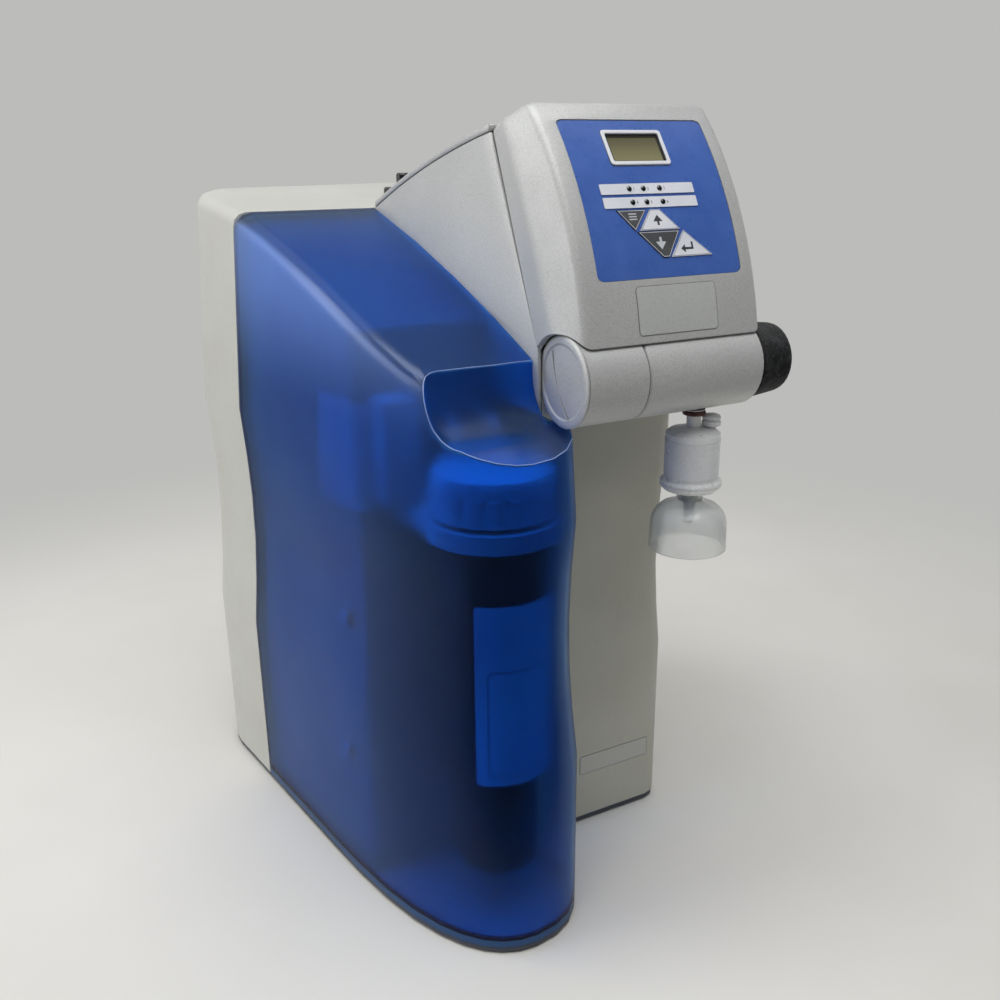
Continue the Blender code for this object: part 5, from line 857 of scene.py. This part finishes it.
def layered_piece(name, layers, material, body):
    """Layers of one grid of points, with faces over the first and the last and all round the rim."""
    count, wide = len(layers[0]), len(layers[0][0])
    size, last_row = count * wide, (count - 1) * wide
    faces = []
    for layer in (0, len(layers) - 1):
        for row in range(count - 1):
            for column in range(wide - 1):
                first = layer * size + row * wide + column
                faces.append((first, first + 1, first + 1 + wide, first + wide))
    rim = list(range(wide)) + [row * wide + wide - 1 for row in range(1, count)]
    rim += [last_row + column for column in range(wide - 2, -1, -1)]
    rim += [row * wide for row in range(count - 2, 0, -1)]
    for layer in range(len(layers) - 1):
        for index, corner in enumerate(rim):
            first, beside = layer * size + corner, layer * size + rim[(index + 1) % len(rim)]
            faces.append((first, beside, size + beside, size + first))
    corners = [corner for layer in layers for row in layer for corner in row]
    keep_piece(name, corners, faces, material, body)


def sheet_piece(name, edges, corner, thickness, place, material, body, columns=1, across_scale=1.0,
                base=0.0):
    """A thin plate laid on a surface. across_scale turns a length across into the place function's unit."""
    full = sheet_rows(edges, corner)
    small = sheet_rows(inset(edges, SHEET_EDGE), max(corner - SHEET_EDGE, 0.2 * corner))
    layers = []
    for rows, out in ((full, base), (full, thickness - SHEET_EDGE), (small, thickness)):
        layers.append([[place((start + (end - start) * column / columns) * across_scale, height, out)
                        for column in range(columns + 1)] for height, start, end in rows])
    layered_piece(name, layers, material, body)


# %% [markdown]
# A line, such as the groove round a plate or the border of a label, is a band between an outer and an
# inner outline. The outlines are sampled alike, so that their points pair up all the way round.

# %% Bands between two outlines
OUTLINE_STEPS = 12


def round_outline(edges, corner):
    """Points round a round-cornered rectangle, with steps along each straight side."""
    left, right, low, high = edges
    inner_left, inner_right, inner_low, inner_high = inset(edges, corner)
    points = []
    sides = (((inner_left, low), (inner_right, low), (inner_right, inner_low), -0.5 * math.pi),
             ((right, inner_low), (right, inner_high), (inner_right, inner_high), 0.0),
             ((inner_right, high), (inner_left, high), (inner_left, inner_high), 0.5 * math.pi),
             ((left, inner_high), (left, inner_low), (inner_left, inner_low), math.pi))
    for start, end, centre, angle in sides:
        for step in range(OUTLINE_STEPS):
            share = step / OUTLINE_STEPS
            points.append((start[0] + (end[0] - start[0]) * share, start[1] + (end[1] - start[1]) * share))
        for step in range(CORNER_STEPS):
            turn = angle + 0.5 * math.pi * step / CORNER_STEPS
            points.append((centre[0] + corner * math.cos(turn), centre[1] + corner * math.sin(turn)))
    return points


def band_piece(name, outer, inner, low, high, place, material, body, slot, across_scale=1.0):
    """A closed band between two outlines, from one height over the surface to another."""
    loops = [[place(across * across_scale, height, out) for across, height in outline]
             for outline, out in ((outer, low), (outer, high), (inner, high), (inner, low))]
    loops_piece(name, loops, material, body, closed=True)


def inset_outline(points, distance):
    """A convex outline moved inwards by a distance."""
    count = len(points)
    area = sum(points[i][0] * points[(i + 1) % count][1] - points[(i + 1) % count][0] * points[i][1]
               for i in range(count))
    side = 1.0 if area > 0.0 else -1.0
    lines = []
    for index in range(count):
        start, end = Vector(points[index]), Vector(points[(index + 1) % count])
        along = (end - start).normalized()
        inwards = Vector((-along.y, along.x)) * side
        lines.append((start + inwards * distance, along))
    moved = []
    for index in range(count):
        (here, along), (there, before) = lines[index], lines[index - 1]
        cross = before.x * along.y - before.y * along.x
        gap = here - there
        reach = (gap.x * along.y - gap.y * along.x) / cross
        moved.append(tuple(there + before * reach))
    return moved


# %% [markdown]
# ## Bare plates and strips
# The head carries a small plate in a shallow recess, and the front panel a longer strip. Both are
# bare. What the eye sees of such a plate is its thin dark outline and a slightly smoother face, so each
# gets a thin sheet and, round it, a dark band that paints the shadow in its groove.

# %% Bare plate on the head, bare strip on the panel
PLATE_EDGES = (-92.5 * MM, -33.3 * MM, 412.0 * MM, 440.0 * MM)
PLATE_CORNER = 2.2 * MM
STRIP_EDGES = (-71.0 * MM, -6.5 * MM, 45.0 * MM, 61.0 * MM)
STRIP_CORNER = 1.5 * MM
GROOVE_WIDTH = 0.45 * MM
GROOVE_OVERLAP = 0.1 * MM
PLATE_THICKNESS, PLATE_SINK = 0.28 * MM, 0.05 * MM

# painted shadow: a dark grey band stands for the shade in the groove round a plate
groove_shadow = moulded("groove_shadow_abs", "7b7b78", "82827f", "4a4a48", 0.6)
plate_film = moulded("plate_polyester", "b4b6b4", "b9bbb9", "6d6c66", 0.36, 1.4 * MM, 0.006 * MM)
strip_film = moulded("strip_polyester", "b6b6b0", "bab9b3", "6d6c66", 0.4, 1.4 * MM, 0.006 * MM)


def bare_plate(name, edges, corner, place, material, columns=1):
    """A thin sheet with a band of painted groove shadow round it."""
    sheet_piece(name, edges, corner, PLATE_THICKNESS, place, material, "cabinet",
                columns=columns, base=-PLATE_SINK)
    outer = round_outline(inset(edges, -GROOVE_WIDTH), corner + GROOVE_WIDTH)
    inner = round_outline(inset(edges, GROOVE_OVERLAP), corner)
    band_piece(name + "_groove", outer, inner, -PLATE_SINK, PLATE_SINK, place, groove_shadow, "cabinet",
               "silver_grey_plastic")
    print(name, round((edges[1] - edges[0]) / MM, 1), "x", round((edges[3] - edges[2]) / MM, 1), "mm")


bare_plate("head_plate", PLATE_EDGES, PLATE_CORNER, on_display_face, plate_film)
bare_plate("panel_strip", STRIP_EDGES, STRIP_CORNER, on_front_panel, strip_film)

# %% [markdown]
# ## Labels and wraps round cylinders
# The cartridge wears a pale paper label that the cover tints blue, and the filter a clear-varnished wrap
# round its whole body. Both are bare, apart from the label's plain inner border. Paper is matt with a
# slight tooth, which the varnish hides.

# %% Cartridge label and filter wrap
LABEL_ANGLES = (math.radians(-138.0), math.radians(-22.0))
LABEL_HEIGHTS = (124.6 * MM, 252.7 * MM)
LABEL_CORNER, LABEL_THICKNESS = 3.0 * MM, 0.25 * MM
CARTRIDGE_RADIUS = 37.0 * MM
BORDER_MARGINS, BORDER_HEIGHTS = (8.0 * MM, 20.0 * MM), (132.0 * MM, 208.0 * MM)
BORDER_CORNER, BORDER_WIDTH, BORDER_DEPTHS = 4.0 * MM, 0.6 * MM, (0.2 * MM, 0.3 * MM)
WRAP_PROFILE = ((18.08, 311.4), (18.3, 311.4), (18.3, 336.6), (18.08, 336.6))
WRAP_STEPS = 48

label_paper = moulded("label_paper", "e8eaee", "dfe2e8", "a5a8ae", 0.62, 0.8 * MM, 0.02 * MM)
label_ink = moulded("label_border_ink", "6d7688", "788194", "4a4f5c", 0.5, 0.8 * MM, 0.01 * MM)
wrap_vinyl = moulded("wrap_vinyl", "d6d8da", "dcdcdb", "8e9198", 0.3, 2.0 * MM, 0.01 * MM)

round_cartridge = round_axis(CARTRIDGE_AXIS, CARTRIDGE_RADIUS)
label_left, label_right = [angle * CARTRIDGE_RADIUS for angle in LABEL_ANGLES]
sheet_piece("cartridge_label", (label_left, label_right, *LABEL_HEIGHTS), LABEL_CORNER, LABEL_THICKNESS,
            round_cartridge, label_paper, "cartridge", columns=24,
            across_scale=1.0 / CARTRIDGE_RADIUS)
border_edges = (label_left + BORDER_MARGINS[0], label_right - BORDER_MARGINS[1], *BORDER_HEIGHTS)
band_piece("cartridge_label_border", round_outline(border_edges, BORDER_CORNER),
           round_outline(inset(border_edges, BORDER_WIDTH), BORDER_CORNER - BORDER_WIDTH), *BORDER_DEPTHS,
           round_cartridge, label_ink, "cartridge", "key_grey", across_scale=1.0 / CARTRIDGE_RADIUS)
turned_piece("filter_wrap", WRAP_PROFILE, Matrix.Translation(FILTER_AXIS), WRAP_STEPS, wrap_vinyl, "filter",
             closed=True)
print("label width in mm:", round((label_right - label_left) / MM, 1))

# %% [markdown]
# ## The pale sleeve in the bay
# Behind the cover a pale polypropylene sleeve wraps the corner of the inner housing, level with the
# cartridge's cap. It shows through the tint as a bright patch with a clear corner. It lies on the housing
# like a label, so rays are cast from outside towards an upright line inside the housing. Where they meet
# the wall is the sleeve's inner layer, and the same point moved out along the ray is its outer layer.

# %% Sleeve round the housing's corner
SLEEVE_CORE = (-205.0, 60.0)
SLEEVE_FROM, SLEEVE_TO = math.radians(172.0), math.radians(250.0)
SLEEVE_LOW, SLEEVE_HIGH = 292.0, 366.0
SLEEVE_STEPS, SLEEVE_ROWS = 16, 6
SLEEVE_GAP, SLEEVE_THICKNESS = 0.15 * MM, 1.2 * MM
RAY_START = 0.5  # metres from the core, which is well outside the housing


def surface_at(node_name, start, direction):
    """Where a ray from a point meets a CAD solid, and that surface's direction outwards."""
    hit, spot, normal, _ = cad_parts[node_name].ray_cast(start, Vector(direction))
    if not hit:
        raise ValueError("no surface of %s there" % node_name)
    return spot, normal


def sleeve_point(row, step, lift):
    """A point of the sleeve, lifted off the housing's wall."""
    up = SLEEVE_LOW + (SLEEVE_HIGH - SLEEVE_LOW) * row / SLEEVE_ROWS
    core = panel_place(SLEEVE_CORE[0] * MM, SLEEVE_CORE[1] * MM, up * MM)
    angle = SLEEVE_FROM + (SLEEVE_TO - SLEEVE_FROM) * step / SLEEVE_STEPS
    outwards = Vector((math.cos(angle), math.sin(angle), 0.0))
    return surface_at("front_housing", core + outwards * RAY_START, -outwards)[0] + outwards * lift


sleeve_layers = [[[sleeve_point(row, step, lift) for step in range(SLEEVE_STEPS + 1)]
                  for row in range(SLEEVE_ROWS + 1)] for lift in (SLEEVE_GAP, SLEEVE_GAP + SLEEVE_THICKNESS)]
sleeve_plastic = moulded("pale_polypropylene", "dfe1e4", "d5d8dc", "8b8d90", 0.42, SOFT_GRAIN, 0.015 * MM)
layered_piece("bay_sleeve", sleeve_layers, sleeve_plastic, "cabinet")
print("sleeve height in mm:", SLEEVE_HIGH - SLEEVE_LOW)

# %% [markdown]
# ## The display's dark border
# The deep recess of the white frame shades the edge of the liquid crystal cell. A flat black band just
# over the glass paints that shade. It is what makes the display look deep, and without it the olive
# glass reads as paint.

# %% Display recess shade
DISPLAY_CENTRE = (-67.5 * MM, 519.1 * MM)
SHADE_BAND_EDGES = (-19.7 * MM, 19.7 * MM, -9.9 * MM, 9.9 * MM)
SHADE_BAND_WINDOW = (-18.2 * MM, 18.2 * MM, -9.0 * MM, 7.95 * MM)
SHADE_BAND_DEPTHS = (-1.35 * MM, -1.1 * MM)
OUTER_CORNER, INNER_CORNER = 1.0 * MM, 0.5 * MM


def flat_place(frame_place):
    """A place function for a flat frame, such as the display's or a key row's."""
    return lambda across, up, out: frame_place @ Vector((across, up, out))


# painted shade: a black band where the frame's recess shades the cell's edge
recess_shade = moulded("painted_recess_shade", "141412", "1c1b18", "0a0a0a", 0.7, 0.8 * MM, 0.05 * MM)
band_piece("display_recess_shade", round_outline(SHADE_BAND_EDGES, OUTER_CORNER),
           round_outline(SHADE_BAND_WINDOW, INNER_CORNER), *SHADE_BAND_DEPTHS,
           flat_place(row_frame(*DISPLAY_CENTRE)), recess_shade, "cabinet", "dark_plastic")
print("display opening in mm:", [round(edge / MM, 2) for edge in SHADE_BAND_WINDOW])

# %% [markdown]
# ## Indicator lenses and their numbers
# Each white strip has three small indicators. A lens is a dome of dark smoked acrylic, which looks black
# while its lamp is off. It is turned from a profile, as a real lens mould is. The six are told apart by
# plain numbers, in the font that comes with Blender, printed dark beside each lens.

# %% Indicator lenses and numbers
INDICATOR_XS = (-82.6 * MM, -72.3 * MM, -60.3 * MM)
STRIP_HEIGHTS = (495.3 * MM, 487.6 * MM)
LENS_PROFILE = ((1.75, 0.0), (1.75, 0.35), (1.6, 0.62), (1.2, 0.86), (0.65, 1.0), (0.0, 1.05))
LENS_STEPS = 20
NUMBER_SIZE, NUMBER_EXTRUDE = 2.7 * MM, 0.02 * MM
NUMBER_SHIFT = (2.7 * MM, -0.95 * MM, 0.14 * MM)

smoked_acrylic = printed_film("smoked_acrylic", "0f0f12", "15151a", 0.15, 1.0)
number_ink = printed_film("number_ink", "34363c", "3d4046", 0.5, 0.2)
spots = [(across, strip_height) for strip_height in STRIP_HEIGHTS for across in INDICATOR_XS]
for indicator, spot in enumerate(spots, 1):
    turned_piece("indicator_lens_%d" % indicator, LENS_PROFILE, row_frame(*spot), LENS_STEPS, smoked_acrylic,
                 "cabinet")
    number = bpy.data.curves.new("indicator_number_%d" % indicator, "FONT")
    number.body = str(indicator)
    number.size = NUMBER_SIZE
    number.extrude = NUMBER_EXTRUDE
    number.materials.append(number_ink)
    number_piece = bpy.data.objects.new(number.name, number)
    bpy.context.scene.collection.objects.link(number_piece)
    number_piece.matrix_world = row_frame(*spot) @ Matrix.Translation(NUMBER_SHIFT)
    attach(number_piece, "cabinet")
print("indicators:", len(spots))

# %% [markdown]
# ## Marks on the keys
# The four keys carry plain marks: three bars for a list, an arrow up, an arrow down and a turned arrow
# for a return. The dark keys have a thin pale outline near their edge, and so have the white ones in
# grey. Each mark rides on its own key, because the keys can be pressed.

# %% Key outlines and marks
MARK_LOW, MARK_HIGH = 0.08 * MM, 0.14 * MM
OUTLINE_INSET, OUTLINE_WIDTH = 0.25 * MM, 0.35 * MM
ROW_UPPER, ROW_LOWER = 477.5 * MM, 463.4 * MM
HALF_UPPER, HALF_LOWER, BAR_HEIGHT = 6.4, 8.0, 0.7
DARK_KEYS = ("menu", "down")
KEYS = {
    "menu": (ROW_UPPER, ((-95.6, HALF_UPPER), (-85.2, -HALF_UPPER), (-74.8, HALF_UPPER))),
    "up": (ROW_UPPER, ((-81.8, -HALF_UPPER), (-52.5, -HALF_UPPER), (-64.8, HALF_UPPER),
                       (-71.5, HALF_UPPER))),
    "down": (ROW_LOWER, ((-83.8, HALF_LOWER), (-68.4, -HALF_LOWER), (-64.0, -HALF_LOWER),
                         (-53.5, HALF_LOWER))),
    "enter": (ROW_LOWER, ((-62.2, -HALF_LOWER), (-31.7, -HALF_LOWER), (-50.3, HALF_LOWER))),
}
MARKS = {
    "menu": [[(-88.0, top), (-82.4, top), (-82.4, top - BAR_HEIGHT), (-88.0, top - BAR_HEIGHT)]
             for top in (4.4, 2.7, 1.0)],
    "up": [[(-71.0, -1.2), (-67.6, 3.0), (-64.2, -1.2), (-66.8, -1.2), (-66.8, -3.6), (-68.4, -3.6),
            (-68.4, -1.2)]],
    "down": [[(-72.4, 1.6), (-68.6, -3.2), (-64.8, 1.6), (-67.8, 1.6), (-67.8, 4.4), (-69.4, 4.4),
              (-69.4, 1.6)]],
    "enter": [[(-54.6, -3.4), (-51.4, -0.8), (-51.4, -2.7), (-46.6, -2.7), (-46.6, 0.6), (-45.2, 0.6),
               (-45.2, -4.1), (-51.4, -4.1), (-51.4, -6.0)]],
}
pale_ink = printed_film("pale_ink", "c9ccd2", "d2d5da", 0.4, 0.3)
grey_ink = printed_film("grey_ink", "8a8f9c", "9297a3", 0.4, 0.3)


def mark_piece(name, outlines, place, material, body):
    """Flat marks with straight sides, all in one mesh."""
    corners, faces = [], []
    for outline in outlines:
        faces += loop_faces(2, len(outline), ends=(0, 1), first=len(corners))
        for out in (MARK_LOW, MARK_HIGH):
            corners += [place(across * MM, up * MM, out) for across, up in outline]
    keep_piece(name, corners, faces, material, body, smooth=False)


for key, (row_height, outline) in KEYS.items():
    place = flat_place(row_frame(0.0, row_height))
    flat = [(across * MM, up * MM) for across, up in outline]
    dark = key in DARK_KEYS
    slot = "white_plastic" if dark else "key_grey"
    band_piece("key_%s_outline" % key, inset_outline(flat, OUTLINE_INSET),
               inset_outline(flat, OUTLINE_INSET + OUTLINE_WIDTH), MARK_LOW, MARK_HIGH, place,
               pale_ink if dark else grey_ink, key + "_key", slot)
    mark_piece("key_%s_mark" % key, MARKS[key], place, pale_ink if dark else number_ink, key + "_key")
print("keys marked:", len(KEYS))

# %% [markdown]
# ## The line on the arm's end cap
# The cap that closes the arm's left end has a fine raised line across its disc, a witness of the mould.
# It is a low rounded ridge along a slightly bent path. Its section is swept along the path by hand, and
# it stands on the disc, whose surface a ray cast finds again.

# %% End cap ridge
CAP_PATH = ((-59.6, 403.2), (-61.4, 394.0), (-64.0, 386.2), (-67.2, 378.8), (-71.4, 371.6), (-75.6, 366.0),
            (-79.2, 362.6))
RIDGE_SECTION = ((-0.45, -0.1), (-0.38, 0.12), (-0.2, 0.24), (0.0, 0.28), (0.2, 0.24), (0.38, 0.12),
                 (0.45, -0.1))
ARM_AXIS = panel_place(0.0, -71.6 * MM, 385.0 * MM)
LEFT_OF_CAP = 200.0 * MM  # left of the panel's corner

cap_ray_start = Vector((PANEL_CORNER.x - LEFT_OF_CAP, ARM_AXIS.y, ARM_AXIS.z))
cap_spot, _ = surface_at("arm_end_cap", cap_ray_start, RIGHTWARDS)
ridge_loops = []
for index, here in enumerate(CAP_PATH):
    before, after = CAP_PATH[max(index - 1, 0)], CAP_PATH[min(index + 1, len(CAP_PATH) - 1)]
    along = (Vector(after) - Vector(before)).normalized()
    ridge_loops.append([Vector((cap_spot.x - out * MM, PANEL_CORNER.y + (here[0] - along.y * offset) * MM,
                                (here[1] + along.x * offset) * MM)) for offset, out in RIDGE_SECTION])
loops_piece("end_cap_ridge", ridge_loops, silver_lacquer, "cabinet")
print("end cap disc at x =", round((cap_spot.x - PANEL_CORNER.x) / MM, 1), "mm")

# %% [markdown]
# ## Collar over the arm's end
# The head's side has a round notch over the arm's end cap. Behind the notch a silver collar closes the
# gap, so only a fine line shows between the two mouldings. It is a short piece of ring about the arm's
# axis, a little wider than the cap, and the part beyond the notch is hidden behind the head's wall.

# %% Collar over the arm's end
COLLAR_SECTION = ((-137.3, 28.75), (-137.3, 32.5), (-136.2, 32.5), (-136.2, 28.75))  # across and radius
COLLAR_FROM, COLLAR_TO = math.radians(34.0), math.radians(88.0)
COLLAR_STEPS = 20

collar_loops = []
for step in range(COLLAR_STEPS + 1):
    angle = COLLAR_FROM + (COLLAR_TO - COLLAR_FROM) * step / COLLAR_STEPS
    collar_loops.append([ARM_AXIS + Vector((across, radius * math.cos(angle), radius * math.sin(angle))) * MM
                         for across, radius in COLLAR_SECTION])
loops_piece("arm_end_collar", collar_loops, silver_lacquer, "cabinet")
print("collar width in mm:", round(COLLAR_SECTION[2][0] - COLLAR_SECTION[1][0], 1))

# %% [markdown]
# ## Grip on the vent cap
# The filter's vent closes with a small cap that is turned between two fingers, so it is more of a button
# than a disc. A low dome turned from a profile stands on the CAD disc and turns with it.

# %% Grip on the vent cap
VENT_PROFILE = ((6.2, -0.4), (6.25, 0.3), (5.95, 1.1), (5.2, 1.9), (3.9, 2.5), (2.2, 2.85), (0.0, 2.95))
VENT_STEPS = 28
vent_low, vent_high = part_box("filter_vent_cap")
vent_top = Vector((0.5 * (vent_low[0] + vent_high[0]), 0.5 * (vent_low[1] + vent_high[1]), vent_high[2]))
turned_piece("vent_cap_grip", VENT_PROFILE, Matrix.Translation(vent_top), VENT_STEPS, milky, "vent_cap")
print("vent cap grip on z =", round(vent_top.z / MM, 1), "mm")

# %% [markdown]
# ## Bead along the scoop's lip
# The rim of a moulded scoop is polished by the fingers that pull it and catches a fine white line. The
# rim's path is taken from the CAD mesh itself: among the cover's sharp outer edges it is the chain between
# two known points. From each point the walk takes the straightest edge onwards. A thin round bead is then
# swept along it, and its pale blue is a painted highlight. A material alone couldn't draw the line,
# because the edge has no face of its own.

# %% Bead along the scoop's lip
LIP_START = panel_place(-139.9 * MM, -43.0 * MM, 394.4 * MM)
LIP_END = panel_place(-126.6 * MM, -66.7 * MM, 354.6 * MM)
LIP_ANGLE = math.radians(55.0)
BEAD_RADIUS = 0.3 * MM
BEAD_STEPS = 8


def lip_path():
    """Points along the scoop's lip, from its upper right end round the left to its lower right end."""
    shape = bmesh.new()
    shape.from_mesh(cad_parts["side_cover"].data)
    bmesh.ops.remove_doubles(shape, verts=shape.verts, dist=WELD_REACH)
    beside = {}
    for edge in shape.edges:
        if len(edge.link_faces) == 2 and edge.calc_face_angle_signed() > LIP_ANGLE:
            for here, there in (edge.verts, reversed(edge.verts)):
                beside.setdefault(here, []).append(there)
    first = min(beside, key=lambda corner: (corner.co - LIP_START).length)
    last = min(beside, key=lambda corner: (corner.co - LIP_END).length)
    path, along = [first], Vector(LEFTWARDS)
    while path[-1] is not last:
        onwards = [corner for corner in beside[path[-1]] if corner not in path]
        path.append(max(onwards, key=lambda corner: (corner.co - path[-1].co).normalized().dot(along)))
        along = (path[-1].co - path[-2].co).normalized()
    points = [corner.co.copy() for corner in path]
    shape.free()
    return points


lip = lip_path()
lip_loops = []
side = Vector(BACKWARDS)
for index, here in enumerate(lip):
    along = (lip[min(index + 1, len(lip) - 1)] - lip[max(index - 1, 0)]).normalized()
    side = (side - along * side.dot(along)).normalized()
    other = along.cross(side)
    lip_loops.append([here + side * x + other * y for x, y in circle(BEAD_RADIUS, BEAD_STEPS)])
# painted highlight: the bead's pale blue stands for the light caught on the lip
lip_highlight = printed_film("painted_lip_highlight", "7f97cf", "8ea5d9", 0.25, 0.9)
loops_piece("scoop_lip_bead", lip_loops, lip_highlight, "cover")
print("lip points:", len(lip), "length in mm:",
      round(sum((there - here).length for here, there in zip(lip, lip[1:])) / MM))

# %% [markdown]
# ## Screws and a bare plate at the back
# The shells are held by pan head screws with a cross recess, zinc plated, four of them on the back. The
# head is turned from a profile, and its top is closed with a ring of faces between a circle and a cross,
# so that the recess is real. A bare plate of satin polyester sits between them. It is the same thin
# sheet as the plate on the head, laid on the back with a place function that finds the wall again with
# a ray for each point, because the back is slightly domed.

# %% Screws and plate at the back
SCREW_STEPS = 24
SCREW_RIM = ((3.3, -0.7), (3.3, 0.5), (3.0, 1.1), (2.4, 1.5), (2.15, 1.55))
CROSS_REACH, CROSS_HALF, CROSS_DEPTH = 1.7, 0.42, 1.0
SCREW_SPOTS = ((-262.0, 40.0), (-22.0, 40.0), (-262.0, 440.0), (-22.0, 440.0))
BEHIND = 400.0 * MM  # from the panel's face, which is outside the back
ZINC_CLOUD = 1.5 * MM
BACK_PLATE_EDGES = (-172.0 * MM, -68.0 * MM, 226.0 * MM, 290.0 * MM)


def zinc_plate():
    material, tree, place = new_material("zinc_plated_steel")
    cloud = noise_field(tree, place, ZINC_CLOUD, 3.0, 0.25, 0.42)
    return end_material(material, principled(tree, between(tree, cloud, "b9bbb8", "c9c8c0"), cloud,
                                             metallic=1.0))


def cross_outline():
    """Twenty-four points round a cross, which pair with a circle of as many."""
    middle = 0.5 * (CROSS_REACH + CROSS_HALF)
    quarter = ((CROSS_REACH, -CROSS_HALF), (CROSS_REACH, 0.0), (CROSS_REACH, CROSS_HALF),
               (middle, CROSS_HALF), (CROSS_HALF, CROSS_HALF), (CROSS_HALF, middle))
    quarter_turns = [(math.cos(0.5 * math.pi * turn), math.sin(0.5 * math.pi * turn)) for turn in range(4)]
    return [(x * cosine - y * sine, x * sine + y * cosine) for cosine, sine in quarter_turns
            for x, y in quarter]


def screw_piece(name, spot, normal, material, body):
    """A pan head screw that stands on a surface."""
    place = Matrix.LocRotScale(spot, normal.to_track_quat("Z", "Y"), (MM, MM, MM))
    outlines = [(circle(radius, SCREW_STEPS, -1), height) for radius, height in SCREW_RIM]
    top = SCREW_RIM[-1][1]
    outlines += [(cross_outline(), height) for height in (top, top - CROSS_DEPTH)]
    loops = [[place @ Vector((x, y, height)) for x, y in outline] for outline, height in outlines]
    loops_piece(name, loops, material, body)


def on_back(across, height, out):
    """A point over the back of the rear housing."""
    spot, _ = surface_at("rear_housing", panel_place(across, BEHIND, height), FORWARDS)
    return spot + Vector((0.0, out, 0.0))


zinc = zinc_plate()
for index, (across, up) in enumerate(SCREW_SPOTS, 1):
    behind = panel_place(across * MM, BEHIND, up * MM)
    spot, normal = surface_at("rear_housing", behind, FORWARDS)
    screw_piece("back_screw_%d" % index, spot, normal, zinc, "cabinet")
    print("screw", index, "at", [round(v / MM, 1) for v in spot - PANEL_CORNER])
bare_plate("back_plate", BACK_PLATE_EDGES, PLATE_CORNER, on_back, plate_film, columns=12)
